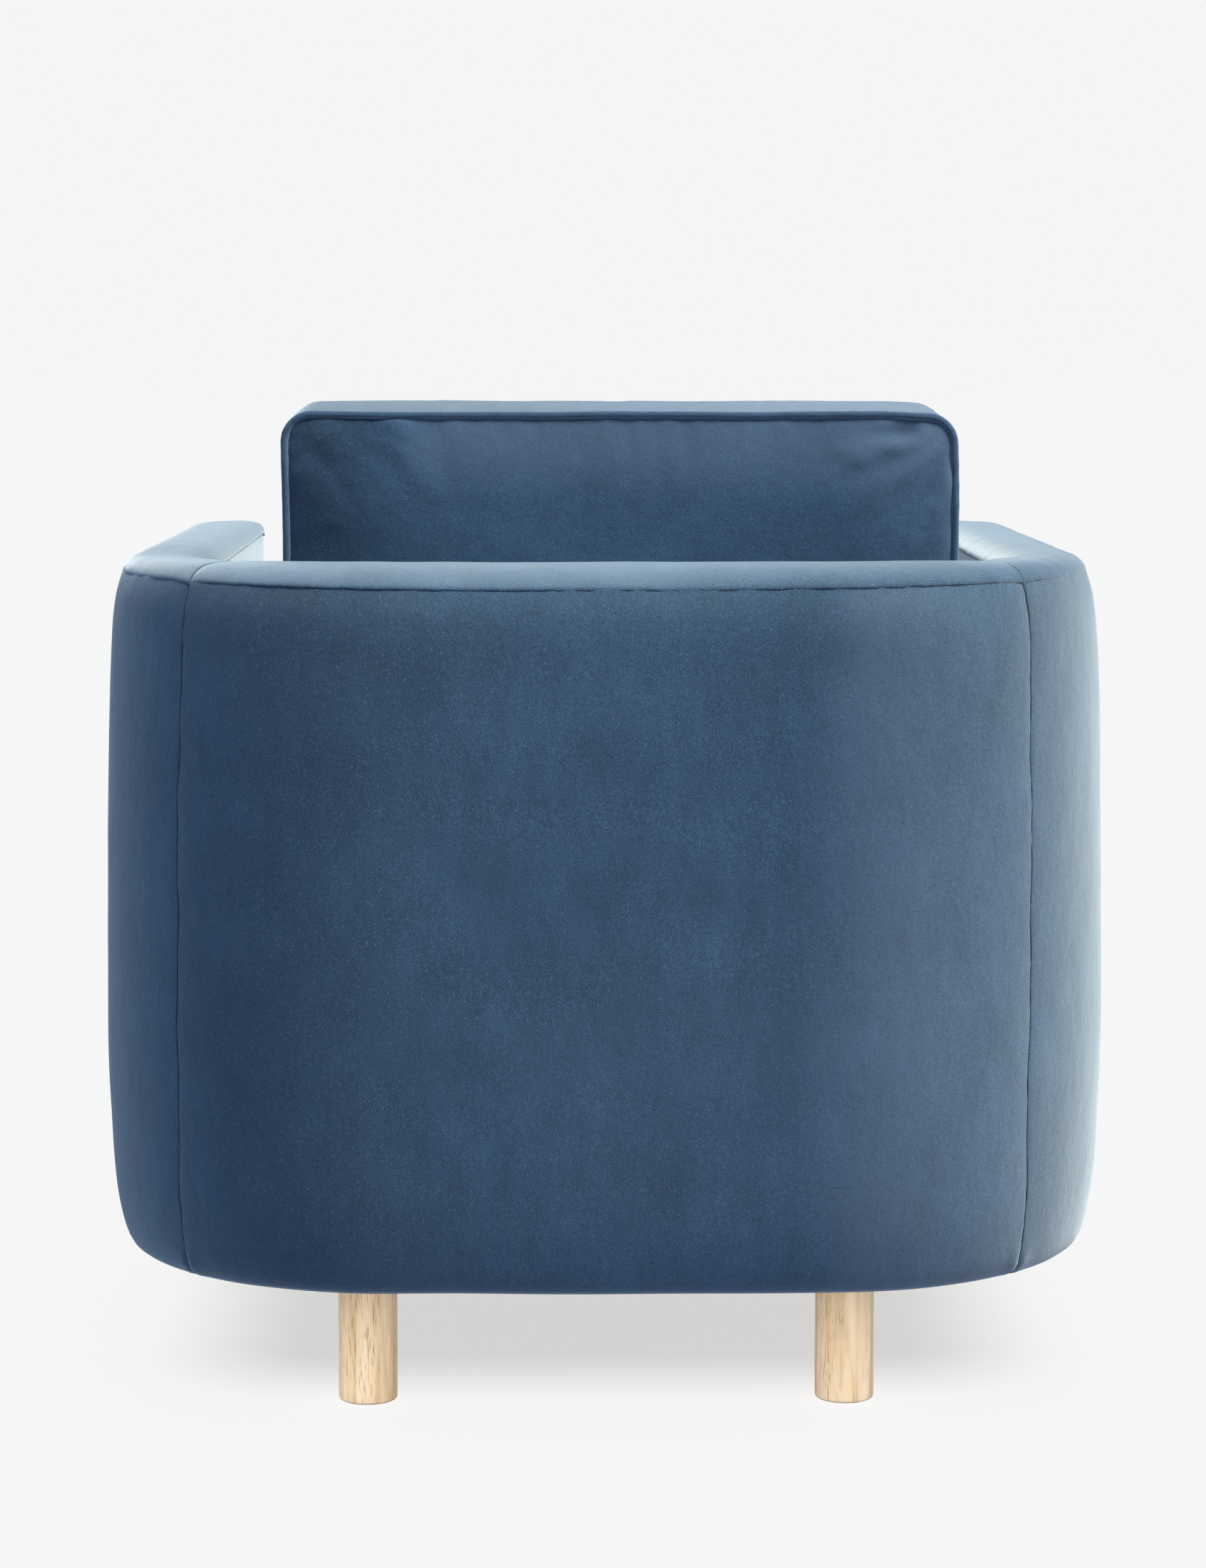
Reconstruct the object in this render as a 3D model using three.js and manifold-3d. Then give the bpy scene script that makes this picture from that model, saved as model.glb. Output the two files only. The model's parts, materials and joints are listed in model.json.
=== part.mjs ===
// An upholstered armchair with a round-cornered tub shell, two loose cushions and four turned legs.
// Millimetres, +Z up, the sitter faces -Y, origin on the floor under the middle of the chair.
// Left and right are the sitter's, so left is +X.

import * as THREE from "three";
import { mergeVertices } from "three/addons/utils/BufferGeometryUtils.js";
import Module from "manifold-3d";

const wasm = await Module();
wasm.setup();

// ---------------------------------------------------------------- driving dimensions

const WIDTH = 864; // outside of the arms, where the padding is fullest
const DEPTH = 850; // outside of the back to the arm noses
const BACK_CORNER_R = 242; // plan radius of the two big rear corners
const NOSE_OUT_R = 66; // plan radius of an arm's outer front corner
const NOSE_IN_R = 27; // plan radius of an arm's inner front corner
const INNER_HALF = 338; // centre line to an arm's inner face
const INNER_BACK_Y = 305; // inner face of the back at its top
const INNER_CORNER_R = 70; // plan radius where the inner back meets an inner arm
const SEAM_ANGLE = 46.5; // degrees round the rear corner from the side to the outer panel seam
const MITRE_ANGLE = 65; // the same for the inner end of the top band's seam, round the inner corner

const BASE_Z = 117; // lower edge of the outer covers
const SEAM_Z = 700; // seam between the outer covers and the top band
const CROWN_Z = 717.5; // highest line of the top band
const PLY = 18; // plywood ribs
const RAIL = 24; // solid timber rails
const RAIL_TOP = 272; // top of the rails that carry the springs
const DECK_Z = 313.5; // what the seat cushion lies on
const GAP = 0.3; // clearance kept between touching pieces

const LEG_R = 25;
const LEG_TOP = 115;
const REAR_LEG = { x: 203, y: 298 };
const FRONT_LEG = { x: 270, y: -320 };
const BOLT_R = 4; // M8 hanger bolt

const PIPING_R = 3.25;
const WRAP = 8; // fabric and wadding round a cushion's foam core
const SEAT = { width: 656, length: 697.5, thick: 138.5, frontR: 40, rearR: 65, zipLength: 560 };
const BACK = { width: 565, length: 375, thick: 150, frontR: 25, rearR: 25, zipLength: 500 };
const BACK_LEAN = 2; // degrees from upright
const BACK_SHIFT = -10; // the loose back cushion sits this far off centre

const HALF = WIDTH / 2;
const SMALL = 1e-3;

// ---------------------------------------------------------------- materials

const paint = (color, roughness, metalness = 0) => new THREE.MeshStandardMaterial({ color, roughness, metalness });
const VELVET = paint(0x3d5a7a, 0.85);
const PIPED = paint(0x324c6a, 0.85);
const OAK = paint(0xdcc39c, 0.55);
const TIMBER = paint(0xc9ae86, 0.7);
const PLYWOOD = paint(0xd3bb92, 0.7);
const STEEL = paint(0xa9adb2, 0.35, 0.9);
const WIRE = paint(0x6d7176, 0.4, 0.9);
const FOAM = paint(0xe9e2c4, 0.95);
const BURLAP = paint(0xa88b5c, 0.95);
const WEBBING = paint(0x8a6f48, 0.95);
const CAMBRIC = paint(0x1c1d20, 0.95);
const ZIP = paint(0x2c3f57, 0.6);

// ---------------------------------------------------------------- geometry helpers

const rad = THREE.MathUtils.degToRad;
const v2 = (x, y) => new THREE.Vector2(x, y);

/** Turns an indexed geometry's faces outwards, whichever way round they were made. */
function faceOut(geometry) {
  const p = geometry.getAttribute("position");
  const index = geometry.index.array;
  const [a, b, c] = [new THREE.Vector3(), new THREE.Vector3(), new THREE.Vector3()];
  let volume = 0;
  for (let i = 0; i < index.length; i += 3) {
    a.fromBufferAttribute(p, index[i]);
    b.fromBufferAttribute(p, index[i + 1]);
    c.fromBufferAttribute(p, index[i + 2]);
    volume += a.dot(b.cross(c));
  }
  if (volume < 0) for (let i = 0; i < index.length; i += 3) [index[i], index[i + 1]] = [index[i + 1], index[i]];
  geometry.computeVertexNormals();
  return geometry;
}

/** A solid swept through places. Each place maps a profile point (u, v) to [x, y, z]. */
function sweep(places, profile, closed = false) {
  const n = profile.length;
  const points = places.flatMap((place) => profile.flatMap(([u, v]) => place(u, v)));
  const index = [];
  const spans = closed ? places.length : places.length - 1;
  for (let i = 0; i < spans; i++) {
    for (let j = 0; j < n; j++) {
      const k = (j + 1) % n;
      const near = i * n;
      const far = ((i + 1) % places.length) * n;
      index.push(near + j, near + k, far + k, near + j, far + k, far + j);
    }
  }
  if (!closed) {
    const last = (places.length - 1) * n;
    const flat = profile.map(([u, v]) => v2(u, v));
    // The side walls run each profile edge forwards at the first place, so the first cap runs it backwards.
    const along = THREE.ShapeUtils.isClockWise(flat) ? -1 : 1;
    for (const [a, b, c] of THREE.ShapeUtils.triangulateShape(flat, [])) {
      const turn = Math.sign((flat[b].x - flat[a].x) * (flat[c].y - flat[a].y)
        - (flat[c].x - flat[a].x) * (flat[b].y - flat[a].y)) * along;
      const [p, q] = turn > 0 ? [b, c] : [c, b];
      index.push(a, q, p, last + a, last + p, last + q);
    }
  }
  const geometry = new THREE.BufferGeometry();
  geometry.setAttribute("position", new THREE.Float32BufferAttribute(points, 3));
  geometry.setIndex(index);
  return faceOut(geometry);
}

/** A flat outline, or a THREE.Shape with holes, raised from z0 to z1. */
function plate(shape, z0, z1, curveSegments = 6) {
  const outline = Array.isArray(shape) ? new THREE.Shape(shape.map(([x, y]) => v2(x, y))) : shape;
  return new THREE.ExtrudeGeometry(outline, { depth: z1 - z0, bevelEnabled: false, curveSegments })
    .translate(0, 0, z0);
}

function block(x0, x1, y0, y1, z0, z1) {
  return new THREE.BoxGeometry(x1 - x0, y1 - y0, z1 - z0).translate((x0 + x1) / 2, (y0 + y1) / 2, (z0 + z1) / 2);
}

/** A turned solid standing on +Z, from [radius, height] points. */
const turned = (profile, segments) =>
  new THREE.LatheGeometry(profile.map(([r, z]) => v2(r, z)), segments).rotateX(Math.PI / 2);

function solidOf(geometry) {
  const bare = geometry.index ? geometry.toNonIndexed() : geometry.clone();
  bare.deleteAttribute("normal");
  bare.deleteAttribute("uv");
  const merged = mergeVertices(bare, SMALL);
  const triVerts = new Uint32Array(merged.index.array);
  return new wasm.Manifold(new wasm.Mesh({ numProp: 3, vertProperties: merged.attributes.position.array, triVerts }));
}

function cut(geometry, ...cutters) {
  const mesh = cutters.reduce((body, tool) => body.subtract(solidOf(tool)), solidOf(geometry)).getMesh();
  const made = new THREE.BufferGeometry();
  made.setAttribute("position", new THREE.BufferAttribute(new Float32Array(mesh.vertProperties), 3));
  made.setIndex(new THREE.BufferAttribute(new Uint32Array(mesh.triVerts), 1));
  return made;
}

const mirrored = (geometry) => {
  const copy = geometry.index ? geometry.clone() : mergeVertices(stripped(geometry), SMALL);
  copy.scale(-1, 1, 1);
  return faceOut(copy);
};

function stripped(geometry) {
  const bare = geometry.clone();
  bare.deleteAttribute("normal");
  bare.deleteAttribute("uv");
  return bare;
}

// ---------------------------------------------------------------- the assembly

const chair = new THREE.Group();

function add(name, geometry, material, parent = chair) {
  const mesh = new THREE.Mesh(geometry, material);
  mesh.name = name;
  parent.add(mesh);
  return mesh;
}

/** Adds NAME_left as made and NAME_right as its mirror image. */
function addPair(name, geometry, material) {
  add(`${name}_left`, geometry, material);
  add(`${name}_right`, mirrored(geometry), material);
}

// ---------------------------------------------------------------- plan of the shell, left half

const rearCorner = { x: HALF - BACK_CORNER_R, y: DEPTH / 2 - BACK_CORNER_R, r: BACK_CORNER_R };
const noseOut = { x: HALF - NOSE_OUT_R, y: -DEPTH / 2 + NOSE_OUT_R, r: NOSE_OUT_R };
const noseIn = { x: INNER_HALF + NOSE_IN_R, y: -DEPTH / 2 + NOSE_IN_R, r: NOSE_IN_R };
const innerCorner = { x: INNER_HALF - INNER_CORNER_R, y: INNER_BACK_Y - INNER_CORNER_R, r: INNER_CORNER_R };

/** Stations round part of a circle: each has a point on it and its outward normal. */
function arc(circle, fromDegrees, toDegrees, steps) {
  return Array.from({ length: steps + 1 }, (_, i) => {
    const a = rad(fromDegrees + ((toDegrees - fromDegrees) * i) / steps);
    const [nx, ny] = [Math.cos(a), Math.sin(a)];
    return { x: circle.x + circle.r * nx, y: circle.y + circle.r * ny, nx, ny };
  });
}

const flip = ({ x, y, nx, ny }) => ({ x: -x, y, nx: -nx, ny });
const WALL_IN = -24.5; // inner side of the outer covers, from the fullest line

/** Places along stations; where a station's fullness drops to 0 the outer surface stands upright. */
const offsetPlaces = (stations) => stations.map(({ x, y, nx, ny, full = 1 }) => (n, z) => {
  const out = n > WALL_IN ? n * full : n;
  return [x + nx * out, y + ny * out, z];
});

/** The arm's inner front corner, upright where it meets the inside arm cover. */
const noseInStations = (steps) => arc(noseIn, -90, -180, steps).map((s, i) => ({ ...s, full: 1 - i / steps }));

// ---------------------------------------------------------------- outer covers

// [distance outside the fullest line, height]: padding bulges at mid height and turns under at the bottom.
const OUTER_PROFILE = [
  [-15, SEAM_Z], [-9, SEAM_Z - 25], [-4, 594], [-1, 440], [0, 330], [-1.5, 245],
  [-5.5, 172], [-10, 140], [-20, BASE_Z], [WALL_IN, BASE_Z], [WALL_IN, SEAM_Z],
];

function outerCovers() {
  const seamGap = (GAP / BACK_CORNER_R) * THREE.MathUtils.RAD2DEG;
  const half = arc(rearCorner, 90, SEAM_ANGLE, 5);
  const back = [...half.map(flip).reverse(), ...half];
  add("outside_back_cover", sweep(offsetPlaces(back), OUTER_PROFILE), VELVET);
  const side = [
    ...arc(rearCorner, SEAM_ANGLE - seamGap, 0, 6),
    ...arc(noseOut, 0, -90, 6),
    ...noseInStations(4).slice(1),
  ];
  addPair("outside_arm_cover", sweep(offsetPlaces(side), OUTER_PROFILE), VELVET);
}

// ---------------------------------------------------------------- top band

const TOP_INSET = 15; // the band's outer seam, inside the fullest line
// [share of the way from the outer seam to the inner seam, height]
const TOP_PROFILE = [
  [0, SEAM_Z + GAP], [0.08, SEAM_Z + 8], [0.25, CROWN_Z - 3], [0.5, CROWN_Z], [0.75, CROWN_Z - 3],
  [0.92, SEAM_Z + 8], [1, SEAM_Z + GAP],
];

/** Places between matching stations of an outer and an inner rail. */
const railPlaces = (outer, inner) =>
  outer.map((o, i) => (t, z) => [o.x + (inner[i].x - o.x) * t, o.y + (inner[i].y - o.y) * t, z]);

const inset = (circle, by) => ({ ...circle, r: circle.r - by });

function topBand() {
  const outerArc = inset(rearCorner, TOP_INSET);
  const outerBack = arc(outerArc, 90, SEAM_ANGLE, 5);
  const innerBack = arc(innerCorner, 90, MITRE_ANGLE, 5);
  const outer = [...outerBack.map(flip).reverse(), ...outerBack];
  const inner = [...innerBack.map(flip).reverse(), ...innerBack];
  add("top_band_back", sweep(railPlaces(outer, inner), TOP_PROFILE), VELVET);

  const gap = 0.1; // degrees, so that the two bands stay apart at their seam
  const innerNose = noseInStations(4).slice(1, 4)
    .map(({ x, y, nx, ny, full }) => ({ x: x - nx * TOP_INSET * full, y: y - ny * TOP_INSET * full }));
  const outerFront = [...arc(inset(noseOut, TOP_INSET), 0, -90, 6), ...innerNose];
  const innerFront = outerFront.map((_, i) => ({
    x: INNER_HALF, y: noseOut.y + ((noseIn.y - noseOut.y) * i) / (outerFront.length - 1),
  }));
  const outerSide = [...arc(outerArc, SEAM_ANGLE - gap, 0, 5), ...outerFront];
  const innerSide = [...arc(innerCorner, MITRE_ANGLE - 4 * gap, 0, 5), ...innerFront];
  addPair("top_band", sweep(railPlaces(outerSide, innerSide), TOP_PROFILE), VELVET);
}

// ---------------------------------------------------------------- inner covers, front border and deck

const INNER_PAD = 14; // thickness of the inner covers with their padding
const INNER_FOOT = 290; // the inner covers are tucked down past the deck to here
const BACK_SLOPE = 14; // the inner back leans by this much over its height

/** How far forward of its top the inner back stands, at a height and for a face turned by ny to the rear. */
const leanIn = (z, ny) => (BACK_SLOPE * ny * (SEAM_Z - z)) / (SEAM_Z - INNER_FOOT);

function innerCovers() {
  const profile = [[0, SEAM_Z], [0, INNER_FOOT], [INNER_PAD, INNER_FOOT], [INNER_PAD, SEAM_Z]];
  const half = arc(innerCorner, 90, 0, 8);
  const path = [...half.map(flip).reverse(), ...half];
  const places = path.map(({ x, y, nx, ny }) => (n, z) => {
    const out = n - leanIn(z, ny);
    return [x + nx * out, y + ny * out, z];
  });
  add("inside_back_cover", sweep(places, profile), VELVET);
  const arm = block(INNER_HALF, INNER_HALF + INNER_PAD, noseIn.y + GAP, innerCorner.y - GAP, INNER_FOOT, SEAM_Z);
  addPair("inside_arm_cover", arm, VELVET);
}

const BORDER_Y = -411; // outer face of the front border, just behind the arm noses
const RAIL_FRONT_Y = -395; // outer face of the front rail

function frontAndDeck() {
  const halfWide = INNER_HALF - 0.5;
  const bend = 6; // rounding of the border's top and bottom edges
  const outline = [
    [BORDER_Y + bend, BASE_Z], [BORDER_Y, BASE_Z + bend], [BORDER_Y, DECK_Z - bend],
    [BORDER_Y + bend, DECK_Z], [RAIL_FRONT_Y - 1, DECK_Z], [RAIL_FRONT_Y - 1, BASE_Z],
  ];
  const ends = [-halfWide, halfWide].map((x) => (y, z) => [x, y, z]);
  add("front_border_cover", sweep(ends, outline), VELVET);

  const rear = arc(innerCorner, 90, 0, 8).map(({ x, y, nx, ny }) => {
    const back = BACK_SLOPE * ny + 0.7;
    return [x - nx * back, y - ny * back];
  });
  const deck = withMirror([...rear, [halfWide, RAIL_FRONT_Y - 1 + GAP]]);
  add("deck_pad", plate(deck, DECK_Z - 20, DECK_Z), FOAM);
  add("spring_cloth", plate(deck, DECK_Z - 21.5, DECK_Z - 20 - GAP), BURLAP);
}

/** A rectangle with its front (-Y) and rear (+Y) corners rounded. */
function roundedOutline(x0, x1, y0, y1, frontR, rearR) {
  const shape = new THREE.Shape();
  shape.moveTo(x0 + frontR, y0);
  shape.lineTo(x1 - frontR, y0);
  shape.absarc(x1 - frontR, y0 + frontR, frontR, -Math.PI / 2, 0);
  shape.lineTo(x1, y1 - rearR);
  shape.absarc(x1 - rearR, y1 - rearR, rearR, 0, Math.PI / 2);
  shape.lineTo(x0 + rearR, y1);
  shape.absarc(x0 + rearR, y1 - rearR, rearR, Math.PI / 2, Math.PI);
  shape.lineTo(x0, y0 + frontR);
  shape.absarc(x0 + frontR, y0 + frontR, frontR, Math.PI, 1.5 * Math.PI);
  return shape;
}

// ---------------------------------------------------------------- timber frame

const SKIN = 25.5; // the timber stands this far inside the fullest line
const FRAME_IN = INNER_HALF + INNER_PAD + 1; // inner face of the side timbers
const BASE_RIB_Z = BASE_Z + 3;
const RIB_TOP = BASE_RIB_Z + PLY;
const TOP_RIB_Z = SEAM_Z - GAP - PLY;
const JOINT_Y = 150; // where a back rib meets a side rib
const BACK_RIB_INNER_Y = 250; // the lower back rib is wide enough to take the rear legs
const legPlaces = { rear_left: REAR_LEG, front_left: FRONT_LEG };

const points = (stations) => stations.map(({ x, y }) => [x, y]);

/** Half of a rib's outer edge at the back, from the middle round to the joint. */
function ribHalf() {
  return [...points(arc(inset(rearCorner, SKIN), 90, 0, 8)), [HALF - SKIN, JOINT_Y]];
}

const withMirror = (half) => [...half, ...half.map(([x, y]) => [-x, y]).reverse()];

function sideRib() {
  const nose = points(arc(inset(noseOut, SKIN + 1), 0, -78, 5));
  return [[FRAME_IN, JOINT_Y - GAP], [HALF - SKIN, JOINT_Y - GAP], ...nose, [FRAME_IN, noseIn.y + 1]];
}

const boltHole = ({ x, y }, r) => turned([[0, 0], [r, 0], [r, 200], [0, 200]], 12).translate(x, y, 50);
const mirrorPlace = ({ x, y }) => ({ x: -x, y });

const POST = 36;

function timberFrame() {
  const nutHole = BOLT_R + 1.9;
  const backRib = withMirror([...ribHalf(), [FRAME_IN, JOINT_Y], [FRAME_IN, BACK_RIB_INNER_Y]]);
  add("base_rib_back", cut(plate(backRib, BASE_RIB_Z, RIB_TOP),
    boltHole(REAR_LEG, nutHole), boltHole(mirrorPlace(REAR_LEG), nutHole)), PLYWOOD);
  const frontRib = block(-FRAME_IN + GAP, FRAME_IN - GAP, RAIL_FRONT_Y, RAIL_FRONT_Y + 145, BASE_RIB_Z, RIB_TOP);
  add("base_rib_front", cut(frontRib, boltHole(FRONT_LEG, nutHole), boltHole(mirrorPlace(FRONT_LEG), nutHole)),
    PLYWOOD);
  addPair("base_rib", plate(sideRib(), BASE_RIB_Z, RIB_TOP), PLYWOOD);

  const innerArc = points(arc({ ...innerCorner, r: INNER_CORNER_R + INNER_PAD + 1 }, 0, 90, 6));
  add("top_rib_back", plate(withMirror([...ribHalf(), [FRAME_IN, JOINT_Y], ...innerArc]), TOP_RIB_Z, TOP_RIB_Z + PLY),
    PLYWOOD);
  addPair("top_rib", plate(sideRib(), TOP_RIB_Z, TOP_RIB_Z + PLY), PLYWOOD);

  const railFoot = RIB_TOP + GAP;
  const backRailY = REAR_LEG.y + 11.5; // behind the rear legs' nuts
  add("front_rail", block(-FRAME_IN + GAP, FRAME_IN - GAP, RAIL_FRONT_Y, RAIL_FRONT_Y + RAIL, railFoot, RAIL_TOP),
    TIMBER);
  add("back_rail", block(-340, 340, backRailY, backRailY + RAIL, railFoot, RAIL_TOP), TIMBER);
  addPair("side_rail", block(FRAME_IN, FRAME_IN + RAIL, RAIL_FRONT_Y, 290, railFoot, RAIL_TOP), TIMBER);

  const postHead = TOP_RIB_Z - GAP;
  addPair("back_post", block(210, 210 + POST, 334, 334 + 1.4 * POST, railFoot, postHead), TIMBER);
  const armPostX = FRAME_IN + RAIL + GAP;
  addPair("arm_post", block(armPostX, HALF - SKIN - 0.5, -352, -352 + POST, railFoot, postHead), TIMBER);
}

// ---------------------------------------------------------------- springs, webs and dust cover

const SPRINGS = 5;
const SPRING_PITCH = 120;
const WIRE_R = 1.9;
const SPRING_BENDS = 20;
const SPRING_HALF_WIDTH = 24;
const SPRING_RISE = 11;

/** A sinuous spring: wire bent from side to side from the front rail to the back rail, arched upwards. */
function sinuousSpring() {
  const start = RAIL_FRONT_Y + RAIL / 2;
  const end = 320;
  const samples = SPRING_BENDS * 3;
  const line = Array.from({ length: samples + 1 }, (_, i) => {
    const t = i / samples;
    const swing = Math.sin(t * SPRING_BENDS * Math.PI);
    const x = SPRING_HALF_WIDTH * Math.sign(swing) * Math.sqrt(Math.abs(swing));
    return new THREE.Vector3(x, start + (end - start) * t, RAIL_TOP + WIRE_R + 1 + SPRING_RISE * Math.sin(t * Math.PI));
  });
  const section = new THREE.Shape();
  section.absarc(0, 0, WIRE_R, 0, 2 * Math.PI);
  const path = new THREE.CatmullRomCurve3(line);
  return new THREE.ExtrudeGeometry(section, { steps: 80, extrudePath: path, curveSegments: 3, bevelEnabled: false });
}

function suspension() {
  const spring = sinuousSpring();
  for (let i = 0; i < SPRINGS; i++) {
    const x = (i - (SPRINGS - 1) / 2) * SPRING_PITCH;
    add(`seat_spring_${i + 1}`, spring.clone().translate(x, 0, 0), WIRE);
  }
  for (const [name, z] of [["lower", 400], ["upper", 560]]) {
    add(`back_web_${name}`, block(-250, 250, 331.5, 333, z - 35, z + 35), WEBBING);
  }
}

function dustCover() {
  const edge = 42; // inside the fullest line, under the base ribs
  const outline = withMirror([
    ...points(arc(inset(rearCorner, edge), 90, 0, 8)), [HALF - edge, -360], [HALF - edge - 16, -378],
  ]);
  const holes = Object.values(legPlaces).flatMap((place) => [place, mirrorPlace(place)])
    .map((place) => boltHole(place, BOLT_R + 1));
  add("dust_cover", cut(plate(outline, LEG_TOP + GAP, LEG_TOP + 1.5), ...holes), CAMBRIC);
}

// ---------------------------------------------------------------- legs and their fasteners

function legs() {
  const hole = BOLT_R + GAP;
  const screwFoot = 70;
  const leg = turned([[0, 0], [LEG_R - 1.5, 0], [LEG_R, 1.5], [LEG_R, LEG_TOP], [hole, LEG_TOP],
    [hole, screwFoot], [0, screwFoot]], 32);
  const bolt = turned([[0, screwFoot + 1], [BOLT_R - 1, screwFoot + 5], [BOLT_R, screwFoot + 9],
    [BOLT_R, RIB_TOP + 10], [0, RIB_TOP + 10]], 10);
  const [barrel, flange] = [BOLT_R + 1.6, 10];
  const nut = turned([[hole, RIB_TOP - 12], [barrel, RIB_TOP - 12], [barrel, RIB_TOP + GAP],
    [flange, RIB_TOP + GAP], [flange, RIB_TOP + 1.9], [hole, RIB_TOP + 1.9], [hole, RIB_TOP - 12]], 12);
  for (const [name, place] of Object.entries(legPlaces)) {
    for (const [side, { x, y }] of [[name, place], [name.replace("left", "right"), mirrorPlace(place)]]) {
      add(`leg_${side}`, leg.clone().translate(x, y, 0), OAK);
      add(`hanger_bolt_${side}`, bolt.clone().translate(x, y, 0), STEEL);
      add(`tee_nut_${side}`, nut.clone().translate(x, y, 0), STEEL);
    }
  }
}

// ---------------------------------------------------------------- loose cushions

/** A cushion outline about its own middle, drawn in by an inset. */
function cushionOutline({ width, length, frontR, rearR }, by = 0) {
  const [w, l] = [width / 2 - by, length / 2 - by];
  return roundedOutline(-w, w, -l, l, Math.max(frontR - by, 4), Math.max(rearR - by, 4));
}

/** Piping round the outline, its middle on the cushion's edge. */
function pipingLoop(spec, z) {
  const line = cushionOutline(spec).getPoints(4).slice(0, -1);
  const loop = line.filter((p, i) => p.distanceTo(line[(i + 1) % line.length]) > 0.5);
  const places = loop.map((p, i) => {
    const before = loop[(i - 1 + loop.length) % loop.length];
    const after = loop[(i + 1) % loop.length];
    const inward = after.clone().sub(before).normalize();
    return (u, v) => [p.x + inward.y * u, p.y - inward.x * u, z + v];
  });
  const ring = Array.from({ length: 8 }, (_, i) => {
    const a = (i / 8) * 2 * Math.PI + Math.PI / 8;
    return [PIPING_R * Math.cos(a), PIPING_R * Math.sin(a)];
  });
  return sweep(places, ring, true);
}

const ZIP_SLOT = 14; // height of the opening that the zip closes
const SLIDER = { length: 14, width: 9, deep: 4.5 };

/** A box cushion about its own middle: X across, Y front to rear, Z through it, the zip in the -Y boxing. */
function cushion(name, spec, parent) {
  const half = spec.thick / 2;
  const chamfer = 5; // leaves room for the piping at the edges
  const outer = new THREE.ExtrudeGeometry(cushionOutline(spec), {
    depth: spec.thick - 2 * chamfer, bevelThickness: chamfer, bevelSize: chamfer, bevelOffset: -chamfer,
    bevelSegments: 1, curveSegments: 4,
  }).translate(0, 0, chamfer - half);
  const hollow = plate(cushionOutline(spec, WRAP), WRAP - half, half - WRAP, 4);
  const zipY = -spec.length / 2;
  const zipHalf = spec.zipLength / 2;
  const slot = block(-zipHalf, zipHalf, zipY - 5, zipY + WRAP + 5, -ZIP_SLOT / 2, ZIP_SLOT / 2);
  add(`${name}_cover`, cut(outer, hollow, slot), VELVET, parent);
  add(`${name}_core`, plate(cushionOutline(spec, WRAP + GAP), WRAP + GAP - half, half - WRAP - GAP, 4), FOAM, parent);
  add(`${name}_piping_a`, pipingLoop(spec, -half), PIPED, parent);
  add(`${name}_piping_b`, pipingLoop(spec, half), PIPED, parent);
  const tapeY = zipY + WRAP - 1.5;
  const tapeHalf = zipHalf - GAP;
  const tapeTop = ZIP_SLOT / 2 - GAP;
  add(`${name}_zip`, block(-tapeHalf, tapeHalf, tapeY, tapeY + 1.5, -tapeTop, tapeTop), ZIP, parent);
  const sliderX = tapeHalf - SLIDER.length / 2 - 2;
  const slider = block(sliderX - SLIDER.length / 2, sliderX + SLIDER.length / 2,
    tapeY - GAP - SLIDER.deep, tapeY - GAP, -SLIDER.width / 2, SLIDER.width / 2);
  add(`${name}_zip_slider`, slider, STEEL, parent);
}

function cushions() {
  const seat = new THREE.Group();
  seat.position.set(0, -414.5 + SEAT.length / 2, DECK_Z + PIPING_R + 0.5 + SEAT.thick / 2);
  seat.rotation.z = Math.PI; // the zip is at the rear
  chair.add(seat);
  cushion("seat_cushion", { ...SEAT, frontR: SEAT.rearR, rearR: SEAT.frontR }, seat);

  const seatTop = DECK_Z + 0.5 + SEAT.thick + 2 * PIPING_R;
  const back = new THREE.Group();
  const lean = rad(BACK_LEAN);
  const [rise, reach] = [BACK.length / 2 + PIPING_R, BACK.thick / 2 + PIPING_R];
  const middleZ = seatTop + 1 + rise * Math.cos(lean) + reach * Math.sin(lean);
  const rearFootY = 287; // rear of the cushion where it stands on the seat cushion
  back.position.set(BACK_SHIFT, rearFootY + rise * Math.sin(lean) - reach * Math.cos(lean), middleZ);
  back.rotation.x = Math.PI / 2 - lean; // local Y stands up, local Z faces the sitter's front
  chair.add(back);
  cushion("back_cushion", BACK, back);
}

outerCovers();
topBand();
innerCovers();
frontAndDeck();
timberFrame();
suspension();
dustCover();
legs();
cushions();

export default chair;
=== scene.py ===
"""Looks for the upholstered armchair. Metres, +Z up, the sitter faces -Y, the sitter's left is +X."""

import json
import math

import bmesh
import bpy
import numpy as np
from mathutils import Matrix, Vector, noise

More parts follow.
